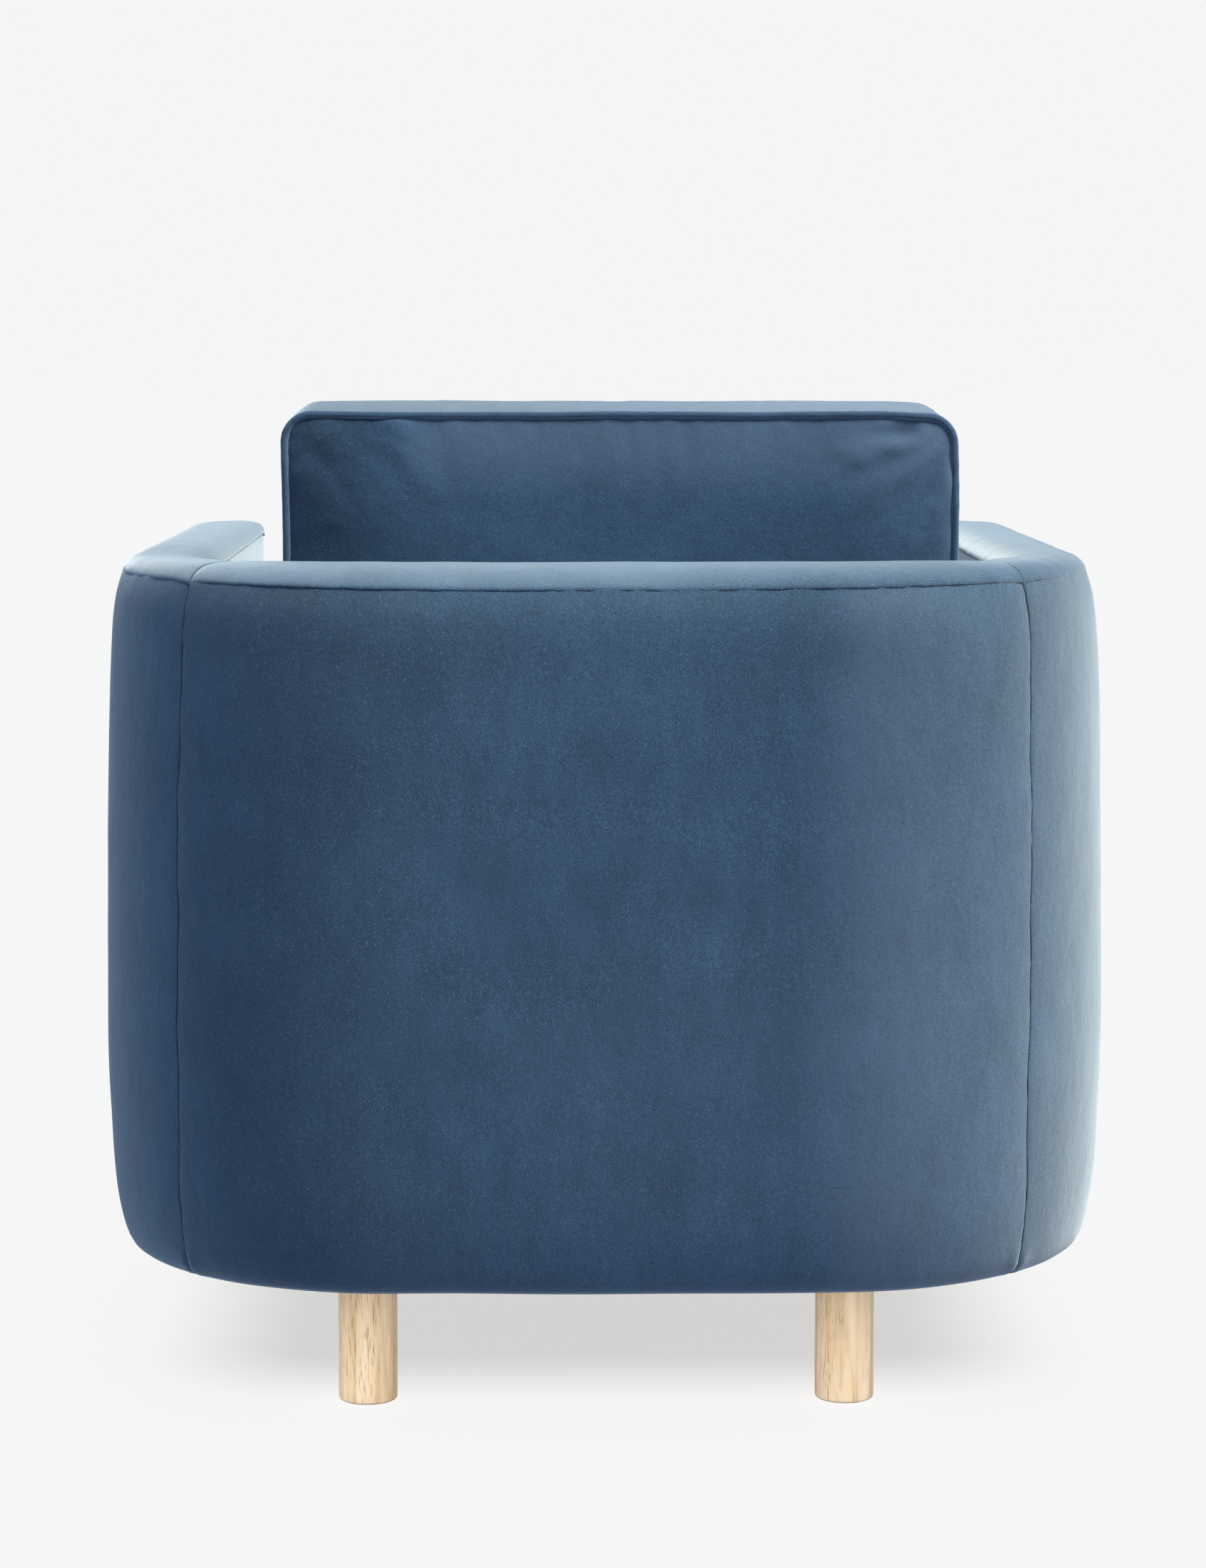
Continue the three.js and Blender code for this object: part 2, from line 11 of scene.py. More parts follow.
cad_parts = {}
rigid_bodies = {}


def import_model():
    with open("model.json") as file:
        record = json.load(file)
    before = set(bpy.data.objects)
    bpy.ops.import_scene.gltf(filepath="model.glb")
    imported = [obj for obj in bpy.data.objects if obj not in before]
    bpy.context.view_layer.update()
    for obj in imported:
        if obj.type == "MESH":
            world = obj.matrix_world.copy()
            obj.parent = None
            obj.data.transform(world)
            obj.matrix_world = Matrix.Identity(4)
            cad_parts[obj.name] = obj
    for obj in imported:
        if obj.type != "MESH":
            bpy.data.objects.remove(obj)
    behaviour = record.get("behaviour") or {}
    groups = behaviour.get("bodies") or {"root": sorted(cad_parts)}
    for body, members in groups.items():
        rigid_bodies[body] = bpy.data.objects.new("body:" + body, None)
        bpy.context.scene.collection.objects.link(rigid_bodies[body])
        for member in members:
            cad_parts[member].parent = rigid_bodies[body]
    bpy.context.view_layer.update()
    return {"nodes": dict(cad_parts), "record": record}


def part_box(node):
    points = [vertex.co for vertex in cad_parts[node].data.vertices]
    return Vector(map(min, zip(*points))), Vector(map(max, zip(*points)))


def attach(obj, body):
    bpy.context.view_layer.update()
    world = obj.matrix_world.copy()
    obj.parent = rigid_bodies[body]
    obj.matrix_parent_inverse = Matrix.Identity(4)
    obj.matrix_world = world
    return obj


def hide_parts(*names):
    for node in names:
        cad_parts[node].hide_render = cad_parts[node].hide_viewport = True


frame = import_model()
nodes = frame["nodes"]

# ---- places, from the CAD frame

ARM_LO, ARM_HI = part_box("outside_arm_cover_left")
BACK_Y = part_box("outside_back_cover")[1][1]
FRONT_Y = ARM_LO[1]
HALF = ARM_HI[0]
SEAM_Z = ARM_HI[2]
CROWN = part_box("top_band_back")[1][2] - SEAM_Z
INNER_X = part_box("inside_arm_cover_left")[0][0]
INNER_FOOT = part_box("inside_arm_cover_left")[0][2]
DECK_LO, DECK_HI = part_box("deck_pad")
BORDER_LO, BORDER_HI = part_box("front_border_cover")

# Plan of the shell: a flat back, two rear corners, straight arms and rounded noses.
REAR_R = 0.242
NOSE_OUT_R = 0.066
NOSE_IN_R = 0.027
INNER_R = 0.070
INNER_BACK_Y = 0.305
BACK_SLOPE = 0.014  # the inner back's foot stands this much further forward than its top
BAND_INSET = 0.015  # the top seam lies this far inside the fullest line
PIPING_R = 0.00325
BACK_HALF = 0.372  # round the shell, from the middle of the back to its side seam
SEAM_GAP = 0.00004  # from a seam's line to the cloth on each side of it

# ---- small mathematics


def smoothstep(x, lo, hi):
    t = np.clip((x - lo) / (hi - lo), 0, 1)
    return t * t * (3 - 2 * t)


def hump(x, width):
    return np.exp(-((x / width) ** 2))


def wander(points, scale, seed=0.0):
    """Smooth noise from -1 to 1 at each point, with features about 1/scale metres across."""
    shift = Vector((seed * 7.31, seed * 3.17, seed * 5.73))
    values = [noise.noise(Vector(p) * scale + shift) for p in points.reshape(-1, 3)]
    return np.array(values).reshape(points.shape[:-1])


def curve_through(points, steps):
    """A smooth curve through points, with the given number of samples between neighbours."""
    p = np.asarray(points, float)
    p = np.vstack([2 * p[0] - p[1], p, 2 * p[-1] - p[-2]])
    t = np.linspace(0, 1, steps, endpoint=False)[:, None]
    spans = [
        0.5 * (2 * b + (c - a) * t + (2 * a - 5 * b + 4 * c - d) * t**2 + (3 * b - a - 3 * c + d) * t**3)
        for a, b, c, d in zip(p, p[1:], p[2:], p[3:])
    ]
    return np.vstack([*spans, p[-2:-1]])


def steps_along(points):
    """The distance along a line of points, from 0 at the first."""
    return np.concatenate([[0], np.cumsum(np.linalg.norm(np.diff(points, axis=0), axis=1))])


def spaced(points, count):
    """The polyline again, as count points at even distances."""
    p = np.asarray(points, float)
    along = steps_along(p)
    at = np.linspace(0, along[-1], count)
    return np.stack([np.interp(at, along, p[:, k]) for k in range(p.shape[1])], axis=1)


def unit(vectors):
    return vectors / np.linalg.norm(vectors, axis=-1, keepdims=True)


def headings(loop):
    """The way along a closed line at each of its points, and the way out, level and square to it."""
    ahead = unit(np.roll(loop, -1, axis=0) - np.roll(loop, 1, axis=0))
    return ahead, unit(np.cross(ahead, [0.0, 0.0, 1.0]))


# How far from a seam the rows and columns next to it lie.
EDGE_ROWS = np.array([0, 0.0002, 0.0005, 0.0009, 0.0014, 0.0022, 0.0036, 0.0058, 0.009, 0.0135])
SEAM_R = 0.0010  # radius of the fold where cloth turns in to a seam
SEAM_DIP = 0.0008  # how far the padding is drawn in beside a seam


def edge_spaced(length, step):
    """Distances from 0 to length: close together at both ends, where the cloth turns in to a seam."""
    middle = np.linspace(EDGE_ROWS[-1], length - EDGE_ROWS[-1], max(3, round(length / step)))
    return np.concatenate([EDGE_ROWS[:-1], middle, length - EDGE_ROWS[-2::-1]])


def tuck(distance):
    """How deep the cloth has turned in at a distance from its seam."""
    near = np.clip(SEAM_R - distance, 0, SEAM_R)
    fold = SEAM_R - np.sqrt(np.maximum(SEAM_R**2 - near**2, 0))
    return fold + SEAM_DIP * np.exp(-np.abs(distance) / 0.0075)


def ripple(seed, *waves):
    """Uneven waves added up; each is (how far along it the points are, its height, its lane in the noise)."""
    return sum(
        height * np.array([noise.noise(Vector((a, seed, lane))) for a in along])
        for along, height, lane in waves
    )


def puckers(along, distance, seed):
    """Small gathers that run square to a seam and die away from it."""
    waves = ripple(seed, (along / 0.013, 1, 0), (along / 0.0055, 0.6, 9))
    return 0.0007 * waves * np.exp(-np.abs(distance) / 0.016)


# ---- making pieces


def smooth_mesh(name, vertices, faces):
    mesh = bpy.data.meshes.new(name)
    mesh.from_pydata([tuple(v) for v in vertices], [], faces)
    mesh.shade_smooth()
    mesh.update()
    obj = bpy.data.objects.new(name, mesh)
    bpy.context.scene.collection.objects.link(obj)
    return obj


def grid_faces(rows, columns, wrap=False, start=0):
    """Quads between rows of a grid; wrap joins the last column to the first."""
    across = columns if wrap else columns - 1
    return [
        (start + i * columns + j, start + i * columns + (j + 1) % columns,
         start + (i + 1) * columns + (j + 1) % columns, start + (i + 1) * columns + j)
        for i in range(rows - 1) for j in range(across)
    ]


def finish_piece(obj, slot, body, replaced):
    """Gives a piece its material, hangs it on the body that carries it and hides the CAD solids it stands in
    for.
    """
    obj.data.materials.clear()
    obj.data.materials.append(MATERIALS[slot])
    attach(obj, body)
    if replaced:
        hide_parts(*replaced)


def paint_pile_and_light(obj, nap):
    """Lays a tone on the velvet's pile at each vertex: pale above 0, dark below. It holds random mottling,
    and also painted light and painted shade.
    """
    values = np.ascontiguousarray(nap, np.float32).ravel()
    obj.data.attributes.new("nap", "FLOAT", "POINT").data.foreach_set("value", values)


def edge_distance(points):
    """How far each point of a grid is from the nearest edge of the grid."""
    nearest = np.full(points.shape[:2], np.inf)
    for axis in (0, 1):
        run = np.cumsum(np.linalg.norm(np.diff(points, axis=axis), axis=2), axis=axis)
        run = np.insert(run, 0, 0, axis=axis)
        nearest = np.minimum(nearest, np.minimum(run, run.max(axis=axis, keepdims=True) - run))
    return nearest


def cloth_panel(name, points, replaced, outward, slot="velvet", thickness=0.0035, nap=0.0,
                painted_shade=0.7):
    """A closed panel of padded cloth from a grid of points on its outer face; its last argument sets how dark
    the painted shade along its seams is.
    """
    obj = smooth_mesh(name, points.reshape(-1, 3), grid_faces(*points.shape[:2]))
    # Painted shade: the cloth darkens close to every seam.
    paint_pile_and_light(obj, nap - painted_shade * np.exp(-edge_distance(points) / 0.0013))
    middle = obj.data.polygons[len(obj.data.polygons) // 2]
    if middle.normal.dot(Vector(outward)) < 0:
        obj.data.flip_normals()
    backing = obj.modifiers.new("backing", "SOLIDIFY")
    backing.thickness = thickness
    backing.offset = -1
    finish_piece(obj, slot, "frame", replaced)


# ---- plan of the shell

QUARTER = math.pi / 2
# Half of each plan from the middle of the back, as stretches of (length, radius): a radius of 0 is straight.
OUTER = (
    (HALF - REAR_R, 0), (REAR_R * QUARTER, REAR_R),
    (BACK_Y - REAR_R - FRONT_Y - NOSE_OUT_R, 0), (NOSE_OUT_R * QUARTER, NOSE_OUT_R),
    (HALF - NOSE_OUT_R - INNER_X - NOSE_IN_R, 0), (NOSE_IN_R * QUARTER, NOSE_IN_R),
)
INNER = (
    (INNER_X - INNER_R, 0), (INNER_R * QUARTER, INNER_R), (INNER_BACK_Y - INNER_R - FRONT_Y - NOSE_IN_R, 0),
)
FLAT_END, CORNER_END, SIDE_END, _, TIP_END, PLAN_END = np.cumsum([length for length, _ in OUTER])
INNER_FLAT, INNER_TURN_END, INNER_END = np.cumsum([length for length, _ in INNER])


def along_plan(s, back_y, stretches):
    """Points on a plan and their normals, at distances round it from the middle of the back."""
    s = np.asarray(s, float)
    side, left = np.sign(s) + (s == 0), np.abs(s)
    x, y, turn = 0 * s, back_y + 0 * s, 0 * s
    for length, radius in stretches:
        step = np.minimum(left, length)
        left = left - step
        if radius:
            x, y = x - radius * np.sin(turn), y - radius * np.cos(turn)
            turn = turn + step / radius
            x, y = x + radius * np.sin(turn), y + radius * np.cos(turn)
        else:
            x, y = x + step * np.cos(turn), y - step * np.sin(turn)
    return side * x, y, side * np.sin(turn), np.cos(turn)


def outer_plan(s):
    """The shell's fullest line."""
    return along_plan(s, BACK_Y, OUTER)


def inner_plan(s):
    """The wall inside the shell."""
    return along_plan(s, INNER_BACK_Y, INNER)


def upright(s):
    """1 where the cover leans with its padding, falling to 0 at the arm's inner front corner."""
    return 1 - smoothstep(np.abs(s), TIP_END, PLAN_END)


# The outer covers' section in millimetres, as (distance outside the fullest line, height).
SECTION = curve_through(np.array([
    (-15, 700), (-12.3, 690), (-9.4, 675), (-6.9, 642), (-4.3, 594), (-2.2, 507), (-0.7, 400), (0, 321),
    (-0.8, 271), (-2.5, 225), (-5.6, 172), (-9.4, 145), (-13.8, 129), (-19.2, 120.2), (-26, 117.2),
    (-35, 117.2), (-44, 117.6),
]) / 1000, 8)


def seam_lift(s):
    """The top seam dips a little across the back and rises to the arms."""
    return -0.0012 + 0.0042 * smoothstep(np.abs(s), 0.05, 0.42)


def panel_seam(z, side):
    """Where the seam between the back and an arm cover lies, round the shell, at a height."""
    bow = 0.003 * side * smoothstep(-z, -0.68, -0.50) - 0.0035 * (side < 0) * smoothstep(-z, -0.45, -0.25)
    bow = bow + 0.0055 * smoothstep(-z, -0.33, -0.117)
    return BACK_HALF + bow + 0.0008 * np.sin(z * 41) + 0.0005 * np.sin(z * 97 + 1)


def shell_grid(starts, ends, seed):
    """A shell cover's outer face: rows down from the top seam, columns round the plan between two seams."""
    along = steps_along(SECTION)
    lower = np.linspace(EDGE_ROWS[-1], along[-1], round(along[-1] / 0.007))
    down = np.concatenate([EDGE_ROWS[:-1], lower])
    n, z = (np.interp(down, along, SECTION[:, k]) for k in (0, 1))
    first, last = starts(z), ends(z)
    width = np.mean(last - first)
    shares = edge_spaced(width, 0.008) / width
    from_start = (last - first)[:, None] * shares
    from_end = (last - first)[:, None] * (1 - shares)
    s = first[:, None] + from_start
    x, y, nx, ny = outer_plan(s)
    raw = np.stack([x, y, np.broadcast_to(z[:, None], x.shape)], axis=-1)
    fade = smoothstep(z, 0.118, 0.2) * smoothstep(SEAM_Z - z, -0.001, 0.05)
    bulge = 0.0016 * (1 - np.exp(-from_start / 0.05)) * (1 - np.exp(-from_end / 0.05)) * fade[:, None]
    soft = 0.0009 * wander(raw, 7, seed) + 0.00035 * wander(raw, 24, seed + 1)
    depth = tuck(down)[:, None] + tuck(from_start) + tuck(from_end) - bulge - soft
    depth = depth - puckers(s[0], down[:, None], seed + 0.3)
    foot = hump(z - 0.125, 0.012)[:, None]
    for distance, tag in ((from_start, 2), (from_end, 5)):
        depth = depth - puckers(z, distance.T, seed + tag).T - 0.0022 * foot * hump(distance - 0.006, 0.007)
    out = n[:, None] * upright(s) - depth
    rise = (seam_lift(s) - 0.0010 * hump(from_start, 0.012)) * smoothstep(z, 0.45, SEAM_Z)[:, None]
    hem = 0.0006 * wander(raw * [1, 1, 0], 11, seed + 4) - 0.0024 * hump(x, 0.30)
    hem = hem * smoothstep(-z, -0.16, -0.118)[:, None]
    return np.stack([x + nx * out, y + ny * out, raw[..., 2] + rise + hem], axis=-1)


# ---- materials


def feed(tree, socket, value):
    """Links another node's socket to this one, or sets it to a number or a colour."""
    if isinstance(value, bpy.types.NodeSocket):
        tree.links.new(value, socket)
    else:
        socket.default_value = (*value, 1) if socket.type == "RGBA" else value


def fed(tree, node, **inputs):
    """The node with its inputs fed by name, with _ for a space."""
    for name, value in inputs.items():
        feed(tree, node.inputs[name.replace("_", " ")], value)
    return node


def added(tree, kind, **inputs):
    """A new shader node with its inputs fed."""
    return fed(tree, tree.nodes.new(f"ShaderNode{kind}"), **inputs)


def node_material(name, **inputs):
    """A new material whose Principled node has the given inputs, with its node tree."""
    material = bpy.data.materials.new(name)
    material.use_nodes = True
    fed(material.node_tree, material.node_tree.nodes["Principled BSDF"], **inputs)
    return material, material.node_tree


def texture(tree, scale, detail=2.0, roughness=0.5, stretch=(1, 1, 1), distortion=0.0):
    """Noise in the object's own metres; scale is features per metre."""
    place = added(tree, "TexCoord").outputs["Object"]
    stretched = added(tree, "Mapping", Vector=place, Scale=stretch).outputs["Vector"]
    cloud = added(tree, "TexNoise", Vector=stretched, Scale=scale, Detail=detail, Roughness=roughness,
                  Distortion=distortion)
    return cloud.outputs["Fac"]


def ramp(tree, value, *stops):
    """A colour ramp: stops are (position, (r, g, b))."""
    node = added(tree, "ValToRGB", Fac=value)
    elements = node.color_ramp.elements
    while len(elements) < len(stops):
        elements.new(0.5)
    for element, (position, colour) in zip(elements, stops):
        element.position = position
        element.color = (*colour, 1)
    return node.outputs["Color"]


def greys(tree, value, low, high, dark=0.0, light=1.0):
    """A grey ramp, dark at low and light at high."""
    return ramp(tree, value, (low, (dark,) * 3), (high, (light,) * 3))


def mixed(tree, share, a, b, mode="MIX"):
    """Two colours mixed by a share. Each is a socket or a value."""
    node = added(tree, "Mix")
    node.data_type = "RGBA"
    node.blend_type = mode
    for socket, value in ((0, share), (6, a), (7, b)):
        feed(tree, node.inputs[socket], value)
    return node.outputs[2]


def dressed(material, colour, *layers):
    """The material with its colour linked and bumps stacked: layers are (height, strength, metres)."""
    tree = material.node_tree
    bumps = [added(tree, "Bump", Height=h, Strength=s, Distance=d) for h, s, d in layers]
    for below, above in zip(bumps, bumps[1:]):
        tree.links.new(below.outputs["Normal"], above.inputs["Normal"])
    fed(tree, tree.nodes["Principled BSDF"], Base_Color=colour, Normal=bumps[-1].outputs["Normal"])
    return material


def velvet():
    """Cut-pile velvet: dark where it faces the eye, bright at grazing angles, clouded softly in tone, and
    lifted by painted light or sunk by painted shade through a per-vertex pile tone that also holds random
    variation.
    """
    material, tree = node_material(
        "blue_velvet", Roughness=0.85, Specular_IOR_Level=0.0,
        Sheen_Weight=1.0, Sheen_Roughness=0.52, Sheen_Tint=(0.85, 0.95, 1.0),
    )
    clouds = texture(tree, 9, 4, 0.55)
    dyed = ramp(tree, clouds, (0.32, (0.040, 0.088, 0.149)), (0.68, (0.055, 0.117, 0.197)))
    streaks = greys(tree, texture(tree, 55, 4, 0.65, (1, 1, 0.32)), 0.3, 0.7, 0.88, 1.12)
    grain = greys(tree, texture(tree, 760, 2, 0.7), 0.3, 0.7, 0.55, 1.45)
    base = mixed(tree, 1.0, mixed(tree, 1.0, dyed, streaks, "MULTIPLY"), grain, "MULTIPLY")
    # The per-vertex pile tone: random variation, and also painted light and painted shade.
    nap_and_painted_light_node = added(tree, "Attribute")
    nap_and_painted_light_node.attribute_name = "nap"
    # Its negative is the share of painted shade.
    painted_shade = added(tree, "Math")
    painted_shade.operation = "MULTIPLY"
    feed(tree, painted_shade.inputs[0], nap_and_painted_light_node.outputs["Fac"])
    feed(tree, painted_shade.inputs[1], -1.0)
    # Painted light: a positive pile tone lifts the colour towards this pale blue.
    base = mixed(tree, nap_and_painted_light_node.outputs["Fac"], base, (0.30, 0.37, 0.47))
    # Painted shade: a negative pile tone sinks the colour towards near-black.
    base = mixed(tree, painted_shade.outputs[0], base, (0.006, 0.012, 0.022))
    flecks = greys(tree, texture(tree, 640, 2, 0.7, (1, 1, 0.6)), 0.625, 0.72)
    brushing = texture(tree, 26, 3, 0.6, (1, 1, 0.55)), 0.28, 0.004
    creases = texture(tree, 130, 3, 0.65), 0.22, 0.0012
    pile = texture(tree, 900, 2, 0.7), 0.45, 0.0006
    return dressed(material, mixed(tree, flecks, base, (0.150, 0.205, 0.280)), brushing, creases, pile)


def oak():
    """Pale oak, grain upright, with darker pores and growth rings."""
    material, tree = node_material("oak", Roughness=0.65, Specular_IOR_Level=0.15)
    rings = texture(tree, 95, 3, 0.55, (1, 1, 0.06), 1.2)
    tones = (0.30, (0.62, 0.43, 0.24)), (0.46, (0.77, 0.58, 0.36)), (0.66, (0.85, 0.68, 0.46))
    wood = ramp(tree, rings, *tones)
    pores = greys(tree, texture(tree, 800, 3, 0.7, (1, 1, 0.06)), 0.54, 0.64)
    bands = greys(tree, texture(tree, 70, 2, 0.5, (1, 1, 0.10)), 0.42, 0.60, light=0.8)
    share = mixed(tree, 1.0, pores, bands, "MULTIPLY")
    return dressed(material, mixed(tree, share, wood, (0.30, 0.17, 0.075)), (pores, 0.25, 0.0004))


def plain_wood(name, dark, light):
    material, tree = node_material(name, Roughness=0.75)
    grain = texture(tree, 40, 4, 0.6, (1, 0.12, 1), 0.8)
    return dressed(material, ramp(tree, grain, (0.3, dark), (0.7, light)), (grain, 0.2, 0.0005))


def metal(name, dark, light, roughness):
    material, tree = node_material(name, Metallic=1.0, Roughness=roughness)
    colour = ramp(tree, texture(tree, 300, 3), (0.35, dark), (0.65, light))
    return dressed(material, colour, (texture(tree, 1500, 2), 0.1, 0.0001))


def woven(name, dark, light, threads):
    """Plain-woven cloth; threads per metre."""
    material, tree = node_material(name, Roughness=0.95, Specular_IOR_Level=0.1)
    place = added(tree, "TexCoord").outputs["Object"]
    weave = added(tree, "TexChecker", Vector=place, Scale=threads, Color1=dark, Color2=light)
    slubs = greys(tree, texture(tree, threads / 6, 3), 0.3, 0.7, 0.8, 1.15)
    colour = mixed(tree, 1.0, weave.outputs["Color"], slubs, "MULTIPLY")
    return dressed(material, colour, (weave.outputs["Fac"], 0.4, 0.0003))


def foam():
    material, tree = node_material("foam", Roughness=0.95, Specular_IOR_Level=0.1)
    cells = texture(tree, 700, 2, 0.7)
    colour = ramp(tree, cells, (0.3, (0.70, 0.64, 0.44)), (0.7, (0.90, 0.86, 0.68)))
    return dressed(material, colour, (cells, 0.4, 0.0008))


VELVET = velvet()
MATERIALS = {
    "velvet": VELVET,
    "piping": VELVET,
    "oak": oak(),
    "timber": plain_wood("timber", (0.42, 0.29, 0.17), (0.62, 0.46, 0.29)),
    "plywood": plain_wood("plywood", (0.55, 0.40, 0.24), (0.74, 0.59, 0.39)),
    "zinc_steel": metal("zinc_steel", (0.50, 0.50, 0.52), (0.68, 0.68, 0.70), 0.35),
    "spring_steel": metal("spring_steel", (0.16, 0.17, 0.19), (0.28, 0.29, 0.31), 0.42),
    "zip_metal": metal("zip_metal", (0.45, 0.46, 0.48), (0.62, 0.63, 0.65), 0.3),
    "zip_tape": woven("zip_tape", (0.020, 0.036, 0.066), (0.032, 0.055, 0.095), 1600),
    "burlap": woven("burlap", (0.30, 0.21, 0.11), (0.50, 0.37, 0.21), 700),
    "webbing": woven("webbing", (0.26, 0.18, 0.10), (0.42, 0.31, 0.18), 500),
    "cambric": woven("cambric", (0.010, 0.010, 0.011), (0.022, 0.022, 0.024), 900),
    "foam": foam(),
}

# ---- shell


def outside_covers():
    """The flat back, and each arm's cover from the back's seam round the corner, the side and the nose."""
    back = shell_grid(lambda z: SEAM_GAP - panel_seam(z, -1), lambda z: panel_seam(z, 1) - SEAM_GAP, 1)
    rightward = -back[..., 0]
    x = 0.022 * wander(back, 4, 7) + rightward
    # Painted light and shade on the back panel: lighter near the sitter's right corner, darker round the
    # sitter's left corner, and a little lighter about 0.3 m up.
    nap = (
        0.15 * smoothstep(x, 0.145, 0.205) * smoothstep(-x, -0.34, -0.22) - 0.28 * hump(x + 0.26, 0.12)
        + 0.04 * hump(back[..., 2] - 0.30, 0.12)
    )
    # Its seams get painted shade, darker towards the sitter's right.
    cloth_panel("outside_back", back, ["outside_back_cover"], (0, 1, 0), nap=nap,
                painted_shade=0.45 + 0.5 * smoothstep(rightward, -0.1, 0.3))
    end = PLAN_END - 0.0004
    left = shell_grid(lambda z: panel_seam(z, 1) + SEAM_GAP, lambda z: end + 0 * z, 2)
    # Painted shade in the arm covers' seams: light on the sitter's left arm, deep on the right arm.
    cloth_panel("outside_arm_left", left, ["outside_arm_cover_left"], (1, 0, 0), painted_shade=0.4)
    right = shell_grid(lambda z: -end + 0 * z, lambda z: -panel_seam(z, -1) - SEAM_GAP, 3)
    cloth_panel("outside_arm_right", right, ["outside_arm_cover_right"], (-1, 0, 0), painted_shade=0.95)


def band_rails(s):
    """The top band's outer and inner seam at distances round the shell from the middle of the back."""
    x, y, nx, ny = outer_plan(s)
    inset = BAND_INSET * upright(s)
    seam, nose = INNER_FLAT + INNER_R * math.radians(25), INNER_END - NOSE_OUT_R + NOSE_IN_R
    inner_s = np.interp(
        np.abs(s), [0, BACK_HALF, CORNER_END, SIDE_END, PLAN_END], [0, seam, INNER_TURN_END, nose, INNER_END],
    )
    inner = inner_plan(inner_s * np.sign(s))
    return np.stack([x - nx * inset, y - ny * inset], axis=-1), np.stack(inner[:2], axis=-1)


def band_grid(first, last, seed):
    """A top band's upper face: rows from its outer seam to its inner one, columns round the shell."""
    s = first + edge_spaced(last - first, 0.008)
    outer, inner = band_rails(s)
    width = np.linalg.norm(inner - outer, axis=1)
    shares = edge_spaced(0.09, 0.005) / 0.09
    t = np.broadcast_to(shares[:, None], (len(shares), len(s)))
    across = t * width
    flat = outer + (inner - outer) * t[..., None]
    raw = np.concatenate([flat, np.full((*t.shape, 1), SEAM_Z)], axis=-1)
    on_arm = smoothstep(np.abs(s), FLAT_END, CORNER_END)
    arch = np.maximum(1 - np.abs(2 * t - 1) ** (2.6 + 1.2 * on_arm), 0) ** 0.75
    forward = smoothstep(np.abs(s), CORNER_END - 0.1, SIDE_END)
    height = (CROWN - seam_lift(s)) * (1 - 0.25 * forward) * arch * np.clip(width / 0.05, 0, 1) ** 0.5
    depth = tuck(across) + tuck(width - across)
    for distance in (s - first, last - s):
        depth = depth + tuck(distance) + 0.0012 * np.exp(-distance / 0.012)
    depth = depth - puckers(s, across, seed) - puckers(s, width - across, seed + 3)
    depth = depth - 0.0007 * wander(raw, 9, seed) - 0.0003 * wander(raw, 28, seed + 2)
    crosswise = np.stack([np.broadcast_to(s * 48, t.shape), across * 9, 0 * t], axis=-1)
    depth = depth - 0.0009 * on_arm * wander(crosswise, 1, seed + 5) * (1 - np.abs(2 * t - 1) ** 4)
    z = SEAM_Z + 0.0001 + seam_lift(s) + height - depth
    return np.concatenate([flat, z[..., None]], axis=-1)


def top_bands():
    """The crowned band along the back, and one along each arm as far as its nose."""
    rear = band_grid(SEAM_GAP - BACK_HALF, BACK_HALF - SEAM_GAP, 11)
    # Random pile variation, plus painted light that lifts the rear band towards the sitter's left.
    mottled_and_painted_light = 0.08 * wander(rear, 28, 71) - 0.05 + 0.20 * smoothstep(rear[..., 0], -0.3, 0.1)
    cloth_panel("top_band_rear", rear, ["top_band_back"], (0, 0, 1), nap=mottled_and_painted_light)
    start, end = BACK_HALF + SEAM_GAP, PLAN_END - 0.004
    # Painted light lifts the left arm's band; the right arm's stays plain.
    for side, first, last, seed, nap in (("left", start, end, 12, 0.28), ("right", -end, -start, 13, 0.0)):
        points = band_grid(first, last, seed)
        cloth_panel(f"top_band_arm_{side}", points, [f"top_band_{side}"], (0, 0, 1), nap=nap)


outside_covers()
top_bands()

# ---- inside of the shell


def inside_cover(name, node, first, last, bulge, outward, seed):
    """An inner cover from its seam with the top band down to where it is tucked in behind the deck."""
    drop = edge_spaced(SEAM_Z - INNER_FOOT, 0.009)[:, None]
    s = first + edge_spaced(last - first, 0.009)[None, :]
    x, y, nx, ny = inner_plan(s)
    z = SEAM_Z + seam_lift(s) - drop
    padding = bulge * hump(drop - 0.10, 0.075)
    padding = padding * smoothstep(s - first, 0, 0.06) * smoothstep(last - s, 0, 0.06)
    raw = np.stack(np.broadcast_arrays(x, y, z), axis=-1)
    depth = tuck(drop) + tuck(s - first) + tuck(last - s) - padding - 0.0005 * wander(raw, 9, seed)
    depth = depth - puckers(s[0], drop, seed) - BACK_SLOPE * ny * drop / (SEAM_Z - INNER_FOOT)
    points = np.stack([raw[..., 0] + nx * depth, raw[..., 1] + ny * depth, raw[..., 2]], axis=-1)
    cloth_panel(name, points, [node], outward)


def inside_covers():
    """The inner back with both its turned corners, and the arms' inner sides."""
    turned = INNER_TURN_END - 0.0003
    inside_cover("inside_back", "inside_back_cover", -turned, turned, 0, (0, -1, 0), 21)
    start, end = INNER_TURN_END + 0.0003, INNER_END - 0.0005
    inside_cover("inside_arm_left", "inside_arm_cover_left", start, end, 0.0022, (-1, 0, 0), 22)
    inside_cover("inside_arm_right", "inside_arm_cover_right", -end, -start, 0.0022, (1, 0, 0), 23)


